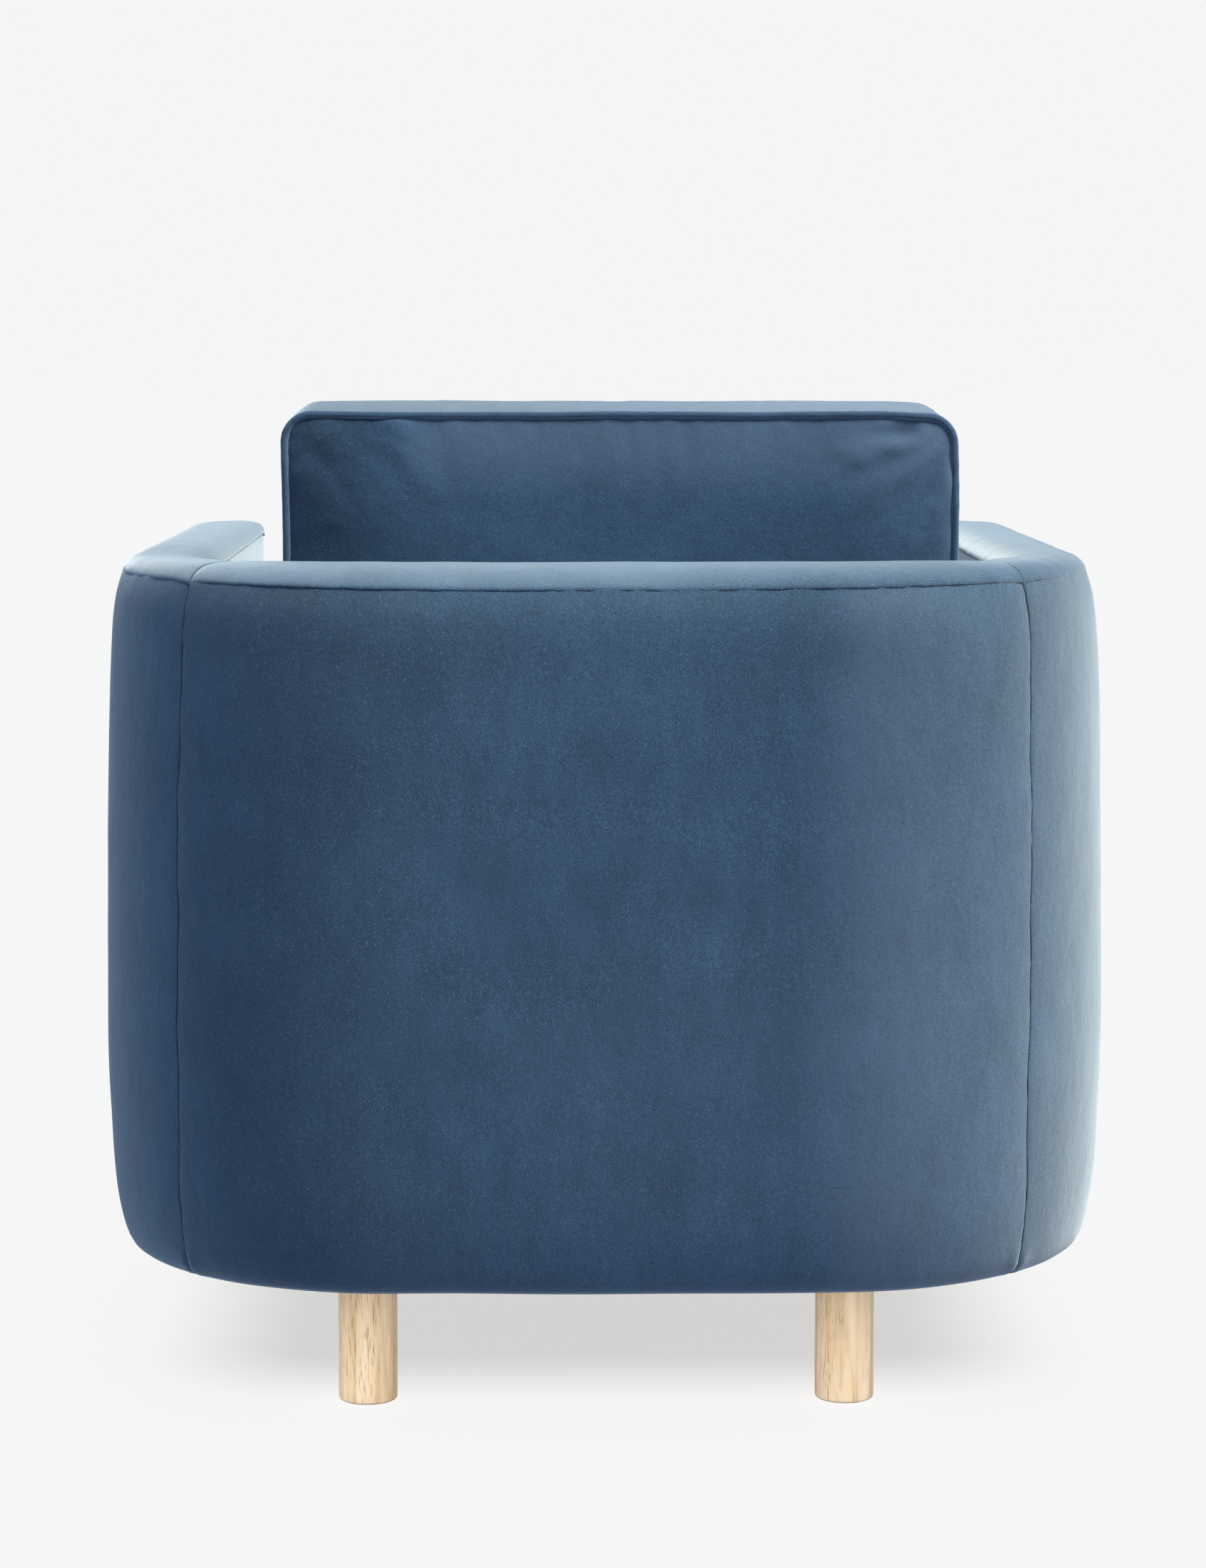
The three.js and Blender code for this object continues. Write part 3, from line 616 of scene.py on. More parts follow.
def front_border():
    """The panel under the seat's front edge, rolled over at its top and foot."""
    y, low, high = BORDER_LO[1], BORDER_LO[2], BORDER_HI[2]
    section = spaced(curve_through([
        (y + 0.014, high - 0.0002), (y + 0.006, high - 0.0014), (y + 0.0012, high - 0.007), (y, high - 0.020),
        (y - 0.0008, (low + high) / 2),
        (y, low + 0.022), (y + 0.0014, low + 0.008), (y + 0.006, low + 0.0016), (y + 0.018, low + 0.0002),
    ], 8), 46)
    x = BORDER_LO[0] + edge_spaced(BORDER_HI[0] - BORDER_LO[0], 0.009)
    from_end = np.minimum(x - BORDER_LO[0], BORDER_HI[0] - x)
    raw = np.stack(np.broadcast_arrays(x[None, :], section[:, :1], section[:, 1:]), axis=-1)
    raw[..., 1] += tuck(from_end)[None, :] - puckers(section[:, 1], from_end[:, None], 24).T
    raw[..., 1] += 0.0006 * wander(raw, 9, 24)
    cloth_panel("front_border", raw, ["front_border_cover"], (0, -1, 0))


def deck_half_width(y):
    """Half the deck's width at each y, inside the inner covers where they meet it."""
    x, wall, nx, ny = inner_plan(np.linspace(0, INNER_TURN_END, 60))
    inset = BACK_SLOPE * ny + 0.0007
    return np.interp(-y, -(wall - ny * inset), x - nx * inset)


def spread(y, half_width, z, columns):
    """A flat grid across the chair: one row at each y, as wide as half_width says there."""
    x = np.outer(half_width(y), np.linspace(-1, 1, columns))
    return np.stack([x, np.broadcast_to(y[:, None], x.shape), np.full(x.shape, z)], axis=-1)


def deck():
    """Under the loose seat: a velvet strip along the front edge, then plain dark cloth, over one pad."""
    seam_y = DECK_LO[1] + 0.125
    rear_y = DECK_HI[1] - 0.0005
    for name, first, last, slot, replaced in (
        ("deck_front_strip", DECK_LO[1], seam_y - 0.0002, "velvet", ()),
        ("deck_cloth", seam_y + 0.0002, rear_y, "cambric", ["deck_pad"]),
    ):
        y = first + edge_spaced(last - first, 0.010)
        points = spread(y, deck_half_width, DECK_HI[2] - 0.0002, 72)
        depth = tuck(y - first) + tuck(last - y)
        points[..., 2] -= depth[:, None] + 0.0009 * (1 + wander(points, 11, 25))
        cloth_panel(name, points, replaced, (0, 0, 1), slot, thickness=0.016)


def thin_cloth(name, node, half_width, sag, slot):
    """A stapled sheet of cloth that sags by sag in the middle, open where the legs' bolts pass."""
    bolt_hole = 0.013
    lo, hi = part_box(node)
    points = spread(np.linspace(lo[1], hi[1], 64), half_width, hi[2], 60)
    points[..., 2] -= sag * hump(points[..., 0], 0.26) * hump(points[..., 1] - (lo[1] + hi[1]) / 2, 0.26)
    obj = smooth_mesh(name, points.reshape(-1, 3), grid_faces(*points.shape[:2]))
    bolts = [sum(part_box(n), Vector()) / 2 for n in nodes if n.startswith("hanger_bolt")]
    pierced = [f.index for f in obj.data.polygons if any((f.center - b).xy.length < bolt_hole for b in bolts)]
    work = bmesh.new()
    work.from_mesh(obj.data)
    work.faces.ensure_lookup_table()
    bmesh.ops.delete(work, geom=[work.faces[i] for i in pierced], context="FACES")
    work.to_mesh(obj.data)
    work.free()
    backing = obj.modifiers.new("backing", "SOLIDIFY")
    backing.thickness = 0.0006
    finish_piece(obj, slot, "frame", [node])


def dust_half_width(y):
    """Half the dust cover's width at each y: it follows the shell's plan, inside its lower edge."""
    lo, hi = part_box("dust_cover")
    radius = REAR_R - (HALF - hi[0])
    rear = FLAT_END + np.sqrt(radius**2 - np.clip(y - BACK_Y + REAR_R, 0, radius) ** 2)
    return rear - 0.016 * smoothstep(-y, -lo[1] - 0.018, -lo[1])


def hidden_cloths():
    """The cambric under the chair and the burlap over the springs."""
    thin_cloth("dust_cover_cloth", "dust_cover", dust_half_width, 0.002, "cambric")
    thin_cloth("spring_burlap", "spring_cloth", deck_half_width, 0.0, "burlap")


def legs():
    """Straight round legs, turned and sanded, the foot's edge eased."""
    ease = 0.0028
    bend = np.linspace(0, math.pi / 2, 6)
    turn = np.linspace(0, 2 * math.pi, 72, endpoint=False)
    for node in [n for n in nodes if n.startswith("leg_")]:
        lo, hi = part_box(node)
        centre, radius = (lo + hi) / 2, (hi.x - lo.x) / 2
        profile = [(0, 0), *zip(radius - ease + ease * np.sin(bend), ease - ease * np.cos(bend))]
        profile += [(radius, z) for z in np.linspace(0.01, hi.z - 0.0008, 12)]
        profile += [(radius - 0.0008, hi.z), (0, hi.z)]
        x, y, _ = centre
        rings = [(x + r * math.cos(a), y + r * math.sin(a), z) for r, z in profile for a in turn]
        obj = smooth_mesh(f"{node}_turned", rings, grid_faces(len(profile), len(turn), wrap=True))
        side = obj.data.polygons[len(turn) * 8]
        if side.normal.dot(side.center - centre) < 0:
            obj.data.flip_normals()
        merge = obj.modifiers.new("poles", "WELD")
        merge.merge_threshold = 1e-5
        finish_piece(obj, "oak", "frame", [node])


inside_covers()
front_border()
deck()
hidden_cloths()
legs()

# ---- cushions

# low_r rounds the corners at the zip, high_r the others. The faces stand out by crown and the boxing by bulge
# before the cushion is blown up, and slack is the share by which its cover is cut too large.
SEAT = {"width": 0.656, "length": 0.6975, "thick": 0.1385, "low_r": 0.065, "high_r": 0.040, "zip": 0.560,
        "crown": 0.009, "bulge": 0.003, "slack": 0.010, "seed": 51}
BACK = {"width": 0.565, "length": 0.375, "thick": 0.150, "low_r": 0.025, "high_r": 0.023, "zip": 0.500,
        "crown": 0.012, "bulge": 0.0042, "slack": 0.035, "seed": 52}
CUSHION_STEP = 0.0075
ZIP_SLOT = 0.014
ZIP_DEPTH = 0.0064  # from the boxing's face down to the tape
BACK_LEAN = math.radians(2)


def cushion_place(node, tilt):
    """The turn and the middle of a cushion: its own X across, Y along its length, Z through it."""
    lo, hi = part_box(node)
    return Matrix.Translation((lo + hi) / 2) @ tilt


def halves(spec):
    """Half a cushion's width, length and thickness."""
    return np.array([spec["width"], spec["length"], spec["thick"]]) / 2


def rounded_outline(x, y, spec):
    """Draws the corners of a rectangle's grid in to the cushion's rounded ones."""
    half_x, half_y, _ = halves(spec)
    r = np.where(y < 0, spec["low_r"], spec["high_r"])
    i = np.clip((np.abs(x) - half_x + r) / r, 0, 1)
    j = np.clip((np.abs(y) - half_y + r) / r, 0, 1)
    inner_x, inner_y = np.minimum(np.abs(x), half_x - r), np.minimum(np.abs(y), half_y - r)
    return (np.sign(x) * (inner_x + r * i * np.sqrt(1 - j * j / 2)),
            np.sign(y) * (inner_y + r * j * np.sqrt(1 - i * i / 2)))


def cushion_grids(spec):
    """The two faces, the boxing round them, and the faces' edge: its places in a face and its normals."""
    half_x, half_y, half_z = halves(spec)
    columns, rows, layers = (round(2 * h / CUSHION_STEP) + 1 for h in (half_x, half_y, half_z))
    gx, gy = np.meshgrid(np.linspace(-half_x, half_x, columns), np.linspace(-half_y, half_y, rows))
    x, y = rounded_outline(gx, gy, spec)
    dome = ((1 - np.abs(gx / half_x) ** 4) * (1 - np.abs(gy / half_y) ** 4)) ** 0.5
    faces = [np.stack([x, y, side * (half_z + spec["crown"] * dome)], axis=-1) for side in (-1, 1)]
    edge = (
        [(0, j) for j in range(columns)] + [(i, columns - 1) for i in range(1, rows)]
        + [(rows - 1, j) for j in range(columns - 2, -1, -1)] + [(i, 0) for i in range(rows - 2, 0, -1)]
    )
    loop = np.array([faces[0][i, j] for i, j in edge])
    _, normal = headings(loop)
    levels = np.linspace(-1, 1, layers)
    boxing = loop + spec["bulge"] * (1 - levels**4)[:, None, None] * normal
    boxing[..., 2] = half_z * levels[:, None]
    return faces, boxing, edge, normal


def join_grids(name, faces, boxing, edge):
    """One closed mesh from the faces and the boxing, which share their edge vertices."""
    rows, columns = faces[0].shape[:2]
    around = len(edge)
    face_size = rows * columns
    vertices = np.concatenate([grid.reshape(-1, 3) for grid in (*faces, boxing[1:-1])])
    low = [q[::-1] for q in grid_faces(rows, columns)]
    high = grid_faces(rows, columns, start=face_size)
    rings = [[i * columns + j for i, j in edge]]
    rings += [[2 * face_size + k * around + m for m in range(around)] for k in range(len(boxing) - 2)]
    rings += [[face_size + i * columns + j for i, j in edge]]
    sides = [
        (a[m], a[(m + 1) % around], b[(m + 1) % around], b[m])
        for a, b in zip(rings, rings[1:]) for m in range(around)
    ]
    obj = smooth_mesh(name, vertices, low + high + sides)
    return obj, rings


def split_grids(coordinates, faces, boxing, edge):
    """The faces and boxing again, from a joined mesh's vertices."""
    shape = faces[0].shape
    size = shape[0] * shape[1]
    low, high = coordinates[:size].reshape(shape), coordinates[size:2 * size].reshape(shape)
    middle = coordinates[2 * size:].reshape(len(boxing) - 2, len(edge), 3)
    ends = [np.array([face[i, j] for i, j in edge])[None] for face in (low, high)]
    return [low, high], np.concatenate([ends[0], middle, ends[1]])


def vertices_of(obj):
    flat = np.empty(len(obj.data.vertices) * 3, np.float32)
    obj.data.vertices.foreach_get("co", flat)
    return flat.reshape(-1, 3).astype(float)


def set_vertices(obj, places):
    obj.data.vertices.foreach_set("co", np.asarray(places, np.float32).ravel())
    obj.data.update()


def apply_modifiers(obj):
    made = bpy.data.meshes.new_from_object(obj.evaluated_get(bpy.context.evaluated_depsgraph_get()))
    obj.modifiers.clear()
    obj.data = made
    made.shade_smooth()


def inflate(obj, pinned, slack, pressure=4, cap=0.014, frames=20):
    """Cloth blown up against its pinned seams, no further than cap, with slack in its corners."""
    start = vertices_of(obj)
    seams = obj.vertex_groups.new(name="seams")
    seams.add([int(i) for i in pinned], 1.0, "REPLACE")
    loose = obj.vertex_groups.new(name="loose")
    inward = np.abs(start).max(axis=0) - np.abs(start)
    for i, weight in enumerate(smoothstep(-np.hypot(inward[:, 0], inward[:, 1]), -0.13, -0.03)):
        loose.add([i], float(weight), "REPLACE")
    cloth = obj.modifiers.new("cloth", "CLOTH")
    cloth.collision_settings.use_collision = False
    cloth.point_cache.frame_end = frames
    settings = cloth.settings
    settings.quality = 6
    settings.mass = 0.25
    settings.tension_stiffness = settings.compression_stiffness = 22
    settings.shear_stiffness = 10
    settings.bending_stiffness = 0.6
    settings.air_damping = 4
    settings.vertex_group_mass = seams.name
    settings.vertex_group_shrink = loose.name
    settings.shrink_min = -0.05 * slack
    settings.shrink_max = -slack
    settings.use_pressure = True
    settings.uniform_pressure_force = pressure
    settings.effector_weights.gravity = 0
    scene = bpy.context.scene
    for frame_number in range(1, frames + 1):
        scene.frame_set(frame_number)
    apply_modifiers(obj)
    scene.frame_set(1)
    move = vertices_of(obj) - start
    length = np.linalg.norm(move, axis=1, keepdims=True)
    set_vertices(obj, start + move * np.minimum(1, cap / np.maximum(length, 1e-9)))


def recess_for_zip(boxing, normal, spec):
    """Finer rows through the middle of the boxing, sunk to the tape's depth along the zip."""
    levels = np.linspace(-1, 1, len(boxing)) * spec["thick"] / 2
    slot = ZIP_SLOT / 2
    lip = np.array([slot, slot + 0.0007, slot + 0.0025, slot + 0.006])
    keep = levels[np.abs(levels) > lip[-1] + 0.002]
    wanted = np.sort(np.concatenate([keep, lip, -lip, [0, slot - 0.0004, 0.0004 - slot]]))
    at = np.interp(wanted, levels, np.arange(len(levels)))
    low = np.minimum(at.astype(int), len(levels) - 2)
    share = (at - low)[:, None, None]
    fine = boxing[low] * (1 - share) + boxing[low + 1] * share
    loop = boxing[0]
    inside = smoothstep(spec["zip"] / 2 - np.abs(loop[:, 0]), -0.004, 0.004)
    inside = inside * (loop[:, 1] < -spec["length"] / 2 + 0.002)
    places, depths = [slot - 0.0002, slot + 0.0009, slot + 0.006], [ZIP_DEPTH + 0.001, 0.0006, 0]
    sunk = np.interp(np.abs(wanted), places, depths)
    return fine - (sunk[:, None] * inside)[..., None] * normal


def tube(name, path, radius, sides=12):
    """A closed tube along a closed path."""
    ahead, across = headings(path)
    up = np.cross(across, ahead)
    turn = np.linspace(0, 2 * math.pi, sides, endpoint=False)[:, None]
    spokes = np.cos(turn) * across[:, None] + np.sin(turn) * up[:, None]
    rings = path[:, None] + radius[:, None, None] * spokes
    size = len(path) * sides
    faces = [tuple(i % size for i in quad) for quad in grid_faces(len(path) + 1, sides, wrap=True)]
    return smooth_mesh(name, rings.reshape(-1, 3), faces)


def piping(name, ring, place, body, node, seed):
    """Covered cord along a seam, a little uneven where the cover is gathered round it."""
    closed = np.vstack([ring, ring[:1]])
    path = spaced(closed, round(steps_along(closed)[-1] / 0.0032))[:-1]
    steps = np.arange(len(path))
    gathers = ripple(seed, (steps * 0.36, 1, 0), (steps * 0.09, 0.6, 4))
    obj = tube(name, path, PIPING_R * (1 + 0.07 * gathers))
    # Painted light: the cord's colour is lifted a little all round.
    paint_pile_and_light(obj, np.full(len(obj.data.vertices), 0.12))
    obj.matrix_world = place
    finish_piece(obj, "piping", body, [node])


def soften(obj):
    """One step of smooth subdivision, applied."""
    obj.modifiers.new("smooth", "SUBSURF").levels = 1
    apply_modifiers(obj)


def seam_gathers(obj, spec):
    """Small gathers square to the piped seams, pushed along the surface's normals."""
    places = vertices_of(obj)
    normals = np.array([v.normal for v in obj.data.vertices])
    half, seed = halves(spec), spec["seed"]
    inward = half - np.abs(places)
    distance = np.where(np.abs(normals[:, 2]) > 0.7, inward[:, :2].min(axis=1), inward[:, 2]).clip(0)
    x, y = places[:, 0] / half[0], places[:, 1] / half[1]
    round_edge = np.arctan2(y, x) * half[:2].mean()
    along = np.where(np.abs(x) > np.abs(y), places[:, 1], places[:, 0])
    lanes = np.sign(places[:, 2]) + 3 * (np.abs(round_edge) > 0.3)
    waves = np.array([
        noise.noise(Vector((a / 0.016, seed + lane, 0))) + 0.5 * noise.noise(Vector((a / 0.007, seed, lane)))
        for a, lane in zip(along, lanes)
    ])
    reach = np.exp(-distance / 0.018) * smoothstep(distance, 0.001, 0.006)
    set_vertices(obj, places + normals * (0.0011 * waves * reach)[:, None])


def boxes_mesh(name, boxes, place, bevel=0.0):
    """Several boxes in one mesh, each given by its two corners."""
    quads = ((0, 1, 3, 2), (4, 6, 7, 5), (0, 4, 5, 1), (2, 3, 7, 6), (0, 2, 6, 4), (1, 5, 7, 3))
    vertices, faces = [], []
    for lo, hi in boxes:
        start = len(vertices)
        vertices += [(x, y, z) for x in (lo[0], hi[0]) for y in (lo[1], hi[1]) for z in (lo[2], hi[2])]
        faces += [tuple(start + i for i in quad) for quad in quads]
    obj = smooth_mesh(name, vertices, faces)
    obj.data.shade_flat()
    obj.matrix_world = place
    if bevel:
        rounding = obj.modifiers.new("rounding", "BEVEL")
        rounding.width = bevel
        rounding.segments = 3
    return obj


def zip_piece(name, spec, place, body, node):
    """Tape on both sides of a row of small coil teeth."""
    face_y = -spec["length"] / 2 + ZIP_DEPTH
    half_x, half_z = spec["zip"] / 2 - 0.0003, ZIP_SLOT / 2 - 0.0003
    pitch, gap = 0.0022, 0.0022  # between teeth, and from the middle of them to the tape
    boxes = [((-half_x, face_y, -half_z), (half_x, face_y + 0.0011, -gap)),
             ((-half_x, face_y, gap), (half_x, face_y + 0.0011, half_z))]
    for k in range(round(2 * half_x / pitch)):
        x = -half_x + (k + 0.5) * pitch
        z = 0.0006 if k % 2 else -0.0006
        boxes.append(((x - 0.0008, face_y - 0.0006, z - 0.002), (x + 0.0008, face_y + 0.001, z + 0.002)))
    finish_piece(boxes_mesh(name, boxes, place), "zip_tape", body, [node])


def slider_piece(name, spec, place, body, node):
    """A zip slider: two plates, the bridge over them and a pull that hangs down flat."""
    x = spec["zip"] / 2 - 0.0003 - 0.009
    y = -spec["length"] / 2 + ZIP_DEPTH - 0.0005
    boxes = [
        ((x - 0.006, y - 0.0012, -0.0042), (x + 0.006, y, 0.0042)),
        ((x - 0.0045, y - 0.0030, -0.0011), (x - 0.0030, y - 0.0010, 0.0011)),
        ((x + 0.0030, y - 0.0030, -0.0011), (x + 0.0045, y - 0.0010, 0.0011)),
        ((x - 0.0045, y - 0.0038, -0.0011), (x + 0.0045, y - 0.0028, 0.0011)),
        ((x - 0.0069, y - 0.0026, -0.0032), (x + 0.0025, y - 0.0018, 0.0032)),
    ]
    finish_piece(boxes_mesh(name, boxes, place, bevel=0.0003), "zip_metal", body, [node])


def cushion(body, spec, tilt, zip_body, shape, limit, nap):
    """A box cushion with piped edges. shape moves its points, limit keeps it off its neighbours."""
    place = cushion_place(f"{body}_cover", tilt)
    faces, boxing, edge, normal = cushion_grids(spec)
    faces, boxing = [shape(f) for f in faces], shape(boxing)
    obj, rings = join_grids(f"{body}_soft", faces, boxing, edge)
    middle = len(rings) // 2
    by_zip = [i for ring in rings[middle - 2:middle + 3] for i, p in zip(ring, boxing[0])
              if p[1] < -spec["length"] / 2 + 0.004 and abs(p[0]) < spec["zip"] / 2 + 0.01]
    inflate(obj, set(rings[0] + rings[-1] + by_zip), spec["slack"])
    faces, boxing = split_grids(vertices_of(obj), faces, boxing, edge)
    bpy.data.objects.remove(obj)
    obj, _ = join_grids(f"{body}_soft", faces, recess_for_zip(boxing, normal, spec), edge)
    soften(obj)
    seam_gathers(obj, spec)
    # The pile tone; for the back cushion it is mostly painted light and shade.
    paint_pile_and_light(obj, nap(vertices_of(obj)))
    matrix = np.array(place)
    world = limit(vertices_of(obj) @ matrix[:3, :3].T + matrix[:3, 3])
    set_vertices(obj, (world - matrix[:3, 3]) @ matrix[:3, :3])
    obj.matrix_world = place
    finish_piece(obj, "velvet", body, [f"{body}_cover", f"{body}_core"])
    for letter, ring in (("a", boxing[0]), ("b", boxing[-1])):
        seed = spec["seed"] + ord(letter)
        piping(f"{body}_cord_{letter}", ring, place, body, f"{body}_piping_{letter}", seed)
    zip_piece(f"{body}_coil_zip", spec, place, body, f"{body}_zip")
    slider_piece(f"{body}_slider", spec, place, zip_body, f"{body}_zip_slider")


def seat_shape(p):
    """A sat-on cushion: its top and its outline waver a little."""
    q = p.copy()
    q[..., 2] += 0.0012 * wander(p, 5, 31) * (p[..., 2] > 0)
    q[..., :2] += 0.0010 * np.stack([wander(p, 12, 32), wander(p, 12, 33)], axis=-1)
    return q


def seat_nap(p):
    """Crushed in the middle, where it is sat on."""
    return 0.05 * wander(p, 7, 64) - 0.06 * hump(np.hypot(p[:, 0], p[:, 1]), 0.2)


def seat_limit(p):
    """Flat on the deck, clear of the arms and the inner back, and squashed flat under the back cushion."""
    q = p.copy()
    under_back = smoothstep(p[:, 1], 0.095, 0.135)
    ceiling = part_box("back_cushion_cover")[0][2] - 0.0008 + 0.03 * (1 - under_back)
    q[:, 0] = np.clip(p[:, 0], -INNER_X + 0.0008, INNER_X - 0.0008)
    q[:, 1] = np.minimum(p[:, 1], INNER_BACK_Y - BACK_SLOPE - 0.0006)
    q[:, 2] = np.clip(p[:, 2], DECK_HI[2] + 0.0007, ceiling)
    return q


def pull_folds(p, corner, seed, near=0.045):
    """Creases that run out from a corner of a cushion's face, where its cover is drawn tight."""
    dx, dy = p[..., 0] - corner[0], p[..., 1] - corner[1]
    away = np.hypot(dx, dy)
    angle = np.arctan2(-dy, -np.sign(corner[0]) * dx) + 0.12 * np.sin(away / 0.03 + seed)
    turns = np.stack([angle * 5.2, away / 0.16, 0 * away], axis=-1)
    ridges = 1 - 2 * np.abs(wander(turns, 1, seed)) ** 0.8
    return ridges * smoothstep(away, 0.012, near) * smoothstep(-away, -0.17, -0.05)


def back_nap_and_painted_light(p):
    """Painted light and shade on the back cushion: its face lighter towards the top and at the sitter's right
    end, darker at the sitter's left end, with light and dark streaks painted along the creases from its top
    corner at the sitter's right; its boxing lighter at the right end and darker at the left; and a little
    random variation.
    """
    half_x, half_y, half_z = halves(BACK)
    u, v = p[:, 0] / half_x, p[:, 1] / half_y
    # Where painted shade darkens the sitter's left end.
    painted_shade = smoothstep(u, 0.50, 0.95)
    face = 0.24 * smoothstep(v, 0.55, 0.92) * (1 - painted_shade) - 0.40 * painted_shade
    face = face + 0.08 * smoothstep(-u, 0.6, 0.9)
    face = face + 0.07 * (pull_folds(p, (-half_x, half_y), 61, near=0.022) - 0.2)
    boxing = 0.22 * smoothstep(-u, -0.2, 0.8) - 0.45 * smoothstep(u, -0.1, 0.6)
    return np.where(np.abs(p[:, 2]) > 0.9 * half_z, face, boxing) + 0.03 * wander(p, 14, 63)


def back_shape(p):
    """Edges that waver, a top that sags in the middle, and sides that pull in between the corners."""
    q = p.copy()
    half_x, half_y, half_z = halves(BACK)
    u, v = p[..., 0] / half_x, p[..., 1] / half_y
    q[..., 1] -= 0.0008 * (1 - u * u) * smoothstep(v, 0, 1)
    q[..., 0] *= 1 - 0.008 * (1 - v * v) + 0.006 * smoothstep(-v, 0.3, 1)
    droop = smoothstep(-u, 0.74, 1.0) * smoothstep(v, 0.60, 1.0)
    q[..., 0] += 0.0030 * droop - 0.0025
    q[..., 1] -= 0.0020 * droop
    face = np.sign(p[..., 2]) * (np.abs(p[..., 2]) > half_z - 0.001)
    for corner, size, seed in ((-1, 0.0050, 61), (1, 0.0032, 62)):
        q[..., 2] += face * size * pull_folds(p, (corner * half_x, half_y), seed)
    waver = 0.0011 * np.stack([wander(p, 13, 41), wander(p, 13, 42)], axis=-1)
    q[..., :2] += waver * smoothstep(v, -0.9, -0.6)[..., None]
    return q


def back_limit(p):
    """Clear of the inner back and the seat cushion."""
    q = p.copy()
    slope = BACK_SLOPE * np.clip(SEAM_Z - p[:, 2], 0, None) / (SEAM_Z - INNER_FOOT)
    wall = np.where(p[:, 2] < SEAM_Z + 0.004, INNER_BACK_Y - slope - 0.0006, 1.0)
    q[:, 1] = np.minimum(p[:, 1], wall)
    q[:, 2] = np.maximum(p[:, 2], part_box("back_cushion_piping_a")[0][2])
    return q


def cushions():
    """The loose seat, its zip at the rear, and the loose back that stands on it."""
    turned = Matrix.Rotation(math.pi, 4, "Z")
    cushion("seat_cushion", SEAT, turned, "seat_zip_slider", seat_shape, seat_limit, seat_nap)
    standing = Matrix.Rotation(math.pi / 2 - BACK_LEAN, 4, "X")
    cushion("back_cushion", BACK, standing, "back_zip_slider", back_shape, back_limit, back_nap_and_painted_light)


def cad_materials():
    """Every CAD solid in its own material, for those that no piece here stands in for."""
    slots = {part["node"]: part["material_slot"] for part in frame["record"]["subparts"]}
    for name, node in nodes.items():
        node.data.materials.clear()
        node.data.materials.append(MATERIALS[slots[name]])


cushions()
cad_materials()

# ---- studio

BACKDROP = 0.913  # the pale ground's brightness, as the camera sees it
SHADE = 0.668  # the same under the middle of the chair
FLOOR_WHITE = 0.2
FLOOR_BOUNCE = (0.24, 0.27, 0.37)  # what the floor throws up at the chair
ROOM = (0.13, 0.18, 0.24)  # what the chair sees around it


def studio_floor():
    """A pale floor: what it sends to the camera is even, less the soft shade under the chair."""
    reach = 40
    corners = [(x, y, 0) for x, y in ((-reach, -reach), (reach, -reach), (reach, reach), (-reach, reach))]
    floor = smooth_mesh("studio_floor", corners, [(0, 1, 2, 3)])
    material, tree = node_material(
        "studio_floor", Roughness=1.0, Specular_IOR_Level=0.0, Emission_Strength=1.0,
    )
    seen = added(tree, "LightPath").outputs["Is Camera Ray"]
    shade = [SHADE - 0.6 * FLOOR_WHITE * c for c in ROOM]
    white, glow = mixed(tree, seen, (0, 0, 0), [FLOOR_WHITE] * 3), mixed(tree, seen, FLOOR_BOUNCE, shade)
    fed(tree, tree.nodes["Principled BSDF"], Base_Color=white, Emission_Color=glow)
    floor.data.materials.append(material)
    return floor


def studio_world():
    """The pale ground behind, which lights the chair itself only faintly."""
    world = bpy.data.worlds.new("studio")
    bpy.context.scene.world = world
    world.use_nodes = True
    tree = world.node_tree
    ground = fed(tree, tree.nodes["Background"], Color=[BACKDROP] * 3).outputs[0]
    room = added(tree, "Background", Color=ROOM).outputs[0]
    seen = added(tree, "LightPath").outputs["Is Camera Ray"]
    chosen = added(tree, "MixShader")
    for socket, value in zip(chosen.inputs, (seen, room, ground)):
        feed(tree, socket, value)
    fed(tree, tree.nodes["World Output"], Surface=chosen.outputs[0])


def light_group(name, objects, state="INCLUDE"):
    """Objects that a light falls on or is blocked by, or with EXCLUDE all the others."""
    group = bpy.data.collections.new(name)
    for obj in objects:
        group.objects.link(obj)
    for item in group.collection_objects:
        item.light_linking.link_state = state
    return group


def far_softbox(name, azimuth, elevation, width, strength, colour, falls_on, blocked_by=None):
    """A large soft light far off, in degrees. Azimuth 0 is before the sitter, 90 to the sitter's left."""
    light = bpy.data.lights.new(name, "SUN")
    light.energy = strength
    light.angle = math.radians(width)
    light.color = colour
    obj = bpy.data.objects.new(name, light)
    a, e = math.radians(azimuth), math.radians(elevation)
    toward = Vector((math.sin(a) * math.cos(e), -math.cos(a) * math.cos(e), math.sin(e)))
    obj.rotation_euler = toward.to_track_quat("Z", "Y").to_euler()
    bpy.context.scene.collection.objects.link(obj)
    obj.light_linking.receiver_collection = falls_on
    if blocked_by:
        obj.light_linking.blocker_collection = blocked_by


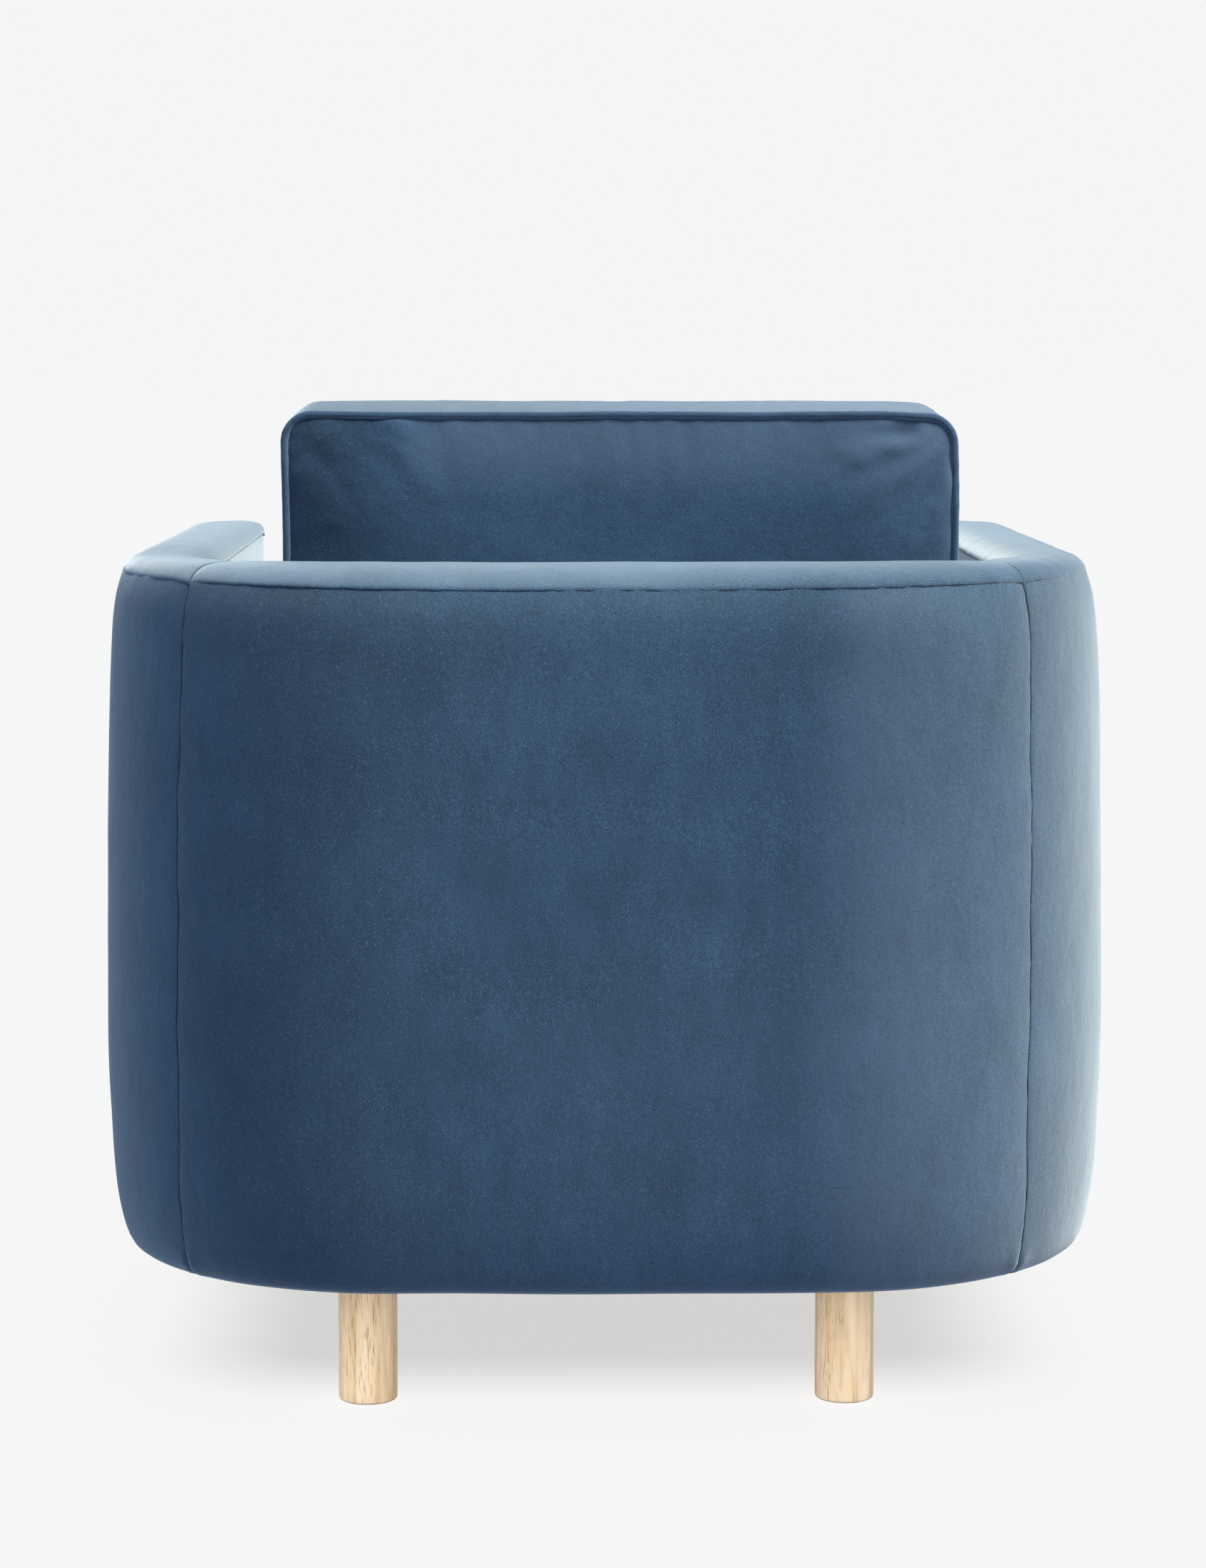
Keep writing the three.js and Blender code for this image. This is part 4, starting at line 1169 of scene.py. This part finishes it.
def studio_lights(floor):
    """Key lights high at the sitter's right, a low one beyond the chair for its edges, and faint fills."""
    oak_legs = [o for o in bpy.context.scene.objects if o.name.startswith("leg_") and not o.hide_render]
    cushion_cloth = [bpy.data.objects[f"back_cushion_{part}"] for part in ("soft", "cord_a", "cord_b")]
    deck_cloths = [bpy.data.objects[name] for name in ("deck_cloth", "deck_front_strip")]
    cover = light_group("shell_and_seat", [floor, *oak_legs, *cushion_cloth], "EXCLUDE")
    on_cushion = light_group("back_cushion", cushion_cloth)
    on_legs = light_group("legs", oak_legs)
    for light in (  # name, azimuth, elevation, width, strength, colour, what it falls on
        ("key_side_high", 260, 64, 30, 3.8, (1.0, 0.87, 0.61), cover),
        ("key_rear_low", 245, 38, 30, 1.2, (1.0, 0.89, 0.66), cover),
        ("key_rear_high", 245, 64, 30, 0.75, (0.53, 1.0, 1.65), cover),
        ("rear_fill", 215, 30, 60, 0.37, (0.54, 1.0, 1.65), cover),
        ("rim", 0, 24, 32, 1.85, (1.0, 0.93, 0.83), cover),
        ("top", 0, 65, 40, 0.4, (1, 1, 1), cover),
        ("left_fill", 95, 25, 50, 0.28, (0.6, 1.0, 1.5), cover),
        ("cushion_key", 242, 56, 24, 3.3, (0.90, 1.0, 1.10), on_cushion),
        ("cushion_rim", 7, 26, 32, 1.9, (1, 1, 1), on_cushion),
    ):
        far_softbox(*light)
    around = (("rear", 175, 2.6), ("left", 110, 1.7), ("right", 240, 1.7), ("front", 0, 2.0))
    for side, azimuth, strength in around:
        far_softbox(f"leg_light_{side}", azimuth, 30, 70, strength, (1, 0.98, 0.97), on_legs, on_legs)
    strength = (BACKDROP - SHADE) * math.pi / FLOOR_WHITE
    on_floor, shade_casters = light_group("floor", [floor]), light_group("shade_casters", deck_cloths)
    far_softbox("floor_light", 180, 80, 28, strength, (1, 1, 1), on_floor, shade_casters)


def camera():
    """Straight behind the chair and a little above it, where the fit to the photo puts it."""
    look_down, turned_aside = math.radians(4.5), math.radians(0.714)
    data = bpy.data.cameras.new("camera")
    data.sensor_width = 36
    data.lens = 89.76
    data.shift_y = -0.0984
    obj = bpy.data.objects.new("camera", data)
    obj.location = (0.0437, 3.575, 0.9151)
    obj.rotation_euler = (math.pi / 2 - look_down, 0, math.pi - turned_aside)
    bpy.context.scene.collection.objects.link(obj)
    bpy.context.scene.camera = obj


studio_lights(studio_floor())
studio_world()
camera()
bpy.context.scene.view_settings.view_transform = "Standard"
